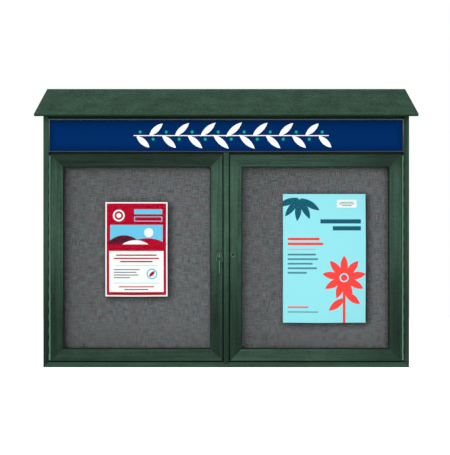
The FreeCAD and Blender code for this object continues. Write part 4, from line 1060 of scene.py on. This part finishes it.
def build_case():
    for node, (tone, low_light_share) in SIDE_BOARD_LOOKS.items():
        side_board = lumber("green_lumber_" + node, ALONG_Z, tone, low_light_share=low_light_share)
        eased(node, side_board, OUTER_EASE, CASE_SHORTEST)
    eased("mullion", UPRIGHT, MULLION_EASE, CASE_SHORTEST)
    eased("mullion_stop", OUTER, INNER_EASE, CASE_SHORTEST)
    eased("header_divider", SHADED, INNER_EASE, CASE_SHORTEST)
    eased("bottom_board", LEVEL, OUTER_EASE, CASE_SHORTEST)
    eased("header_board", LEVEL, INNER_EASE, CASE_SHORTEST)
    eased("roof_slab", ROOFING, OUTER_EASE, ROOF_SHORTEST)
    for node in ("back_panel", "door_stops"):
        dress(node, OUTER)
    dress("roof_cleats", LEVEL)
    dress("door_seals", FOAM)
    dress("strike_plate", ZINC)
    for node in ("hinge_jamb_leaves", "hinge_pins"):
        dress(node, HINGE)
    for node in ("case_screws", "small_case_screws", "poster_staples"):
        dress(node, STAINLESS)
    dress("tackboard_pads", HOOK_PAD)


def build_sign():
    dress("sign_frame", BRONZE)
    low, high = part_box("sign_panel")
    half = (high - low) / (2 * MM)
    # The blue darkens towards its edges as painted shade
    edge_shade = {
        "half": (half.x - SIGN_EDGE_SHADE, half.z - SIGN_EDGE_SHADE),
        "fade": SIGN_EDGE_SHADE,
        "tone": SIGN_SHADE_BLUE,
    }
    middle = (low + high) / 2
    sign = printed("blue_sign", middle, SIGN_BLUE, header_shapes(), SIGN_ROUGH, edge_shade)
    dress("sign_panel", sign)


def build_door(side):
    eased(side + "_hinge_stile", STILE, DOOR_EASE, DOOR_SHORTEST)
    eased(side + "_lock_stile", UPRIGHT, DOOR_EASE, DOOR_SHORTEST)
    for part in ("top_rail", "bottom_rail"):
        node = side + "_" + part
        # The top rails' tones hold painted shade, and painted shade darkens the rails' outer ends
        tone, rail_end_shade = RAIL_LOOKS[node]
        rail = lumber("green_lumber_" + node, ALONG_X, tone, end_shade=rail_end_shade)
        eased(node, rail, DOOR_EASE, DOOR_SHORTEST)
    dress(side + "_glazing_beads", UPRIGHT)
    dress(side + "_pane", PANE)
    dress(side + "_gasket", GASKET_RUBBER)
    for part in ("corner_braces", "lock_nut", "cam_nut"):
        dress(side + "_" + part, ZINC)
    eased(side + "_lock_cam", ZINC, CAM_EASE)
    dress(side + "_door_screws", STAINLESS)
    dress(side + "_hinge_leaf", HINGE)
    dress(side + "_lock_plug", DULL_NICKEL)
    lock_body(side, NICKEL)


NOTICE_DESIGNS = {
    "left": (WHITE, left_notice_shapes),
    "right": (PALE_CYAN, right_notice_shapes),
}


def build_display(side):
    """The tackboard behind a door, with its cloth and its notice."""
    dress(side + "_tackboard", FIBRE)
    tack_cloth(side, tack_cloth_material(side, *CLOTH_PAINTED_LIGHT[side]))
    low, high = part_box(side + "_poster")
    ground, shapes = NOTICE_DESIGNS[side]
    paper = printed(side + "_notice_print", (low + high) / 2, ground, shapes(), PAPER_ROUGH)
    notice(side, paper)


def build_keys():
    for node in ("key", "spare_key"):
        eased(node, KEY_NICKEL, KEY_EASE)
    split_ring(KEY_NICKEL)


# The floor and the studio round the object

def seen_directly(tree, hidden, seen):
    """`seen` for rays from the camera, or through glass or off metal, and `hidden` for the rest."""
    path = add(tree, "LightPath").outputs
    mirrored = calculate(tree, "MAXIMUM", path["Is Glossy Ray"], path["Is Transmission Ray"])
    direct = calculate(tree, "MAXIMUM", path["Is Camera Ray"], mirrored)
    scattered = calculate(tree, "GREATER_THAN", path["Diffuse Depth"], 0.5)
    share = calculate(tree, "SUBTRACT", direct, scattered)
    return remap(tree, share, 0.0, 1.0, hidden, seen)


def stage_material():
    """A pale floor that throws light up onto the object and is white to the camera."""
    material, tree, shader = blank_material("pale_floor")
    speckle = noise(tree, object_place(tree), 3.0, 2.0)
    light = (FLOOR_GREY,) * 3 + (1.0,)
    dark = (FLOOR_GREY - FLOOR_SPECKLE,) * 3 + (1.0,)
    tree.links.new(blend(tree, speckle, dark, light), shader.inputs["Base Color"])
    shader.inputs["Roughness"].default_value = 0.9
    shader.inputs["Specular IOR Level"].default_value = 0.0
    strength = seen_directly(tree, 0.0, FLOOR_GLOW)
    glow = add(tree, "Emission", {"Color": (1, 1, 1, 1), "Strength": strength})
    both = add(tree, "AddShader", {0: shader.outputs[0], 1: glow.outputs[0]})
    tree.links.new(both.outputs[0], tree.nodes["Material Output"].inputs["Surface"])
    return material


def make_stage():
    def corner(i, j):
        return Vector(((2 * i - 1) * FLOOR_HALF, (2 * j - 1) * FLOOR_HALF, FLOOR_Z))

    solid = bmesh.new()
    grid_of(solid, 2, 2, corner)
    mesh = bpy.data.meshes.new("floor")
    solid.to_mesh(mesh)
    solid.free()
    mesh.materials.append(stage_material())
    floor = bpy.data.objects.new("floor", mesh)
    bpy.context.scene.collection.objects.link(floor)

    world = bpy.data.worlds.new("studio")
    world.use_nodes = True
    tree = world.node_tree
    sky = tree.nodes["Background"]
    sky.inputs["Color"].default_value = (1, 1, 1, 1)
    towards = add(tree, "TexCoord").outputs["Generated"]
    inputs = {0: towards, 1: SKY_BRIGHT_SIDE}
    facing = add(tree, "VectorMath", inputs, operation="DOT_PRODUCT").outputs["Value"]
    daylight = remap(tree, facing, -0.5, 1.0, SKY_DARK, SKY_BRIGHT)
    tree.links.new(seen_directly(tree, daylight, 1.0), sky.inputs["Strength"])
    bpy.context.scene.world = world
    bpy.context.scene.view_settings.view_transform = "Standard"


make_camera()
make_lamps()
make_stage()
build_case()
build_sign()
for side in SIDES:
    build_door(side)
    build_display(side)
build_keys()
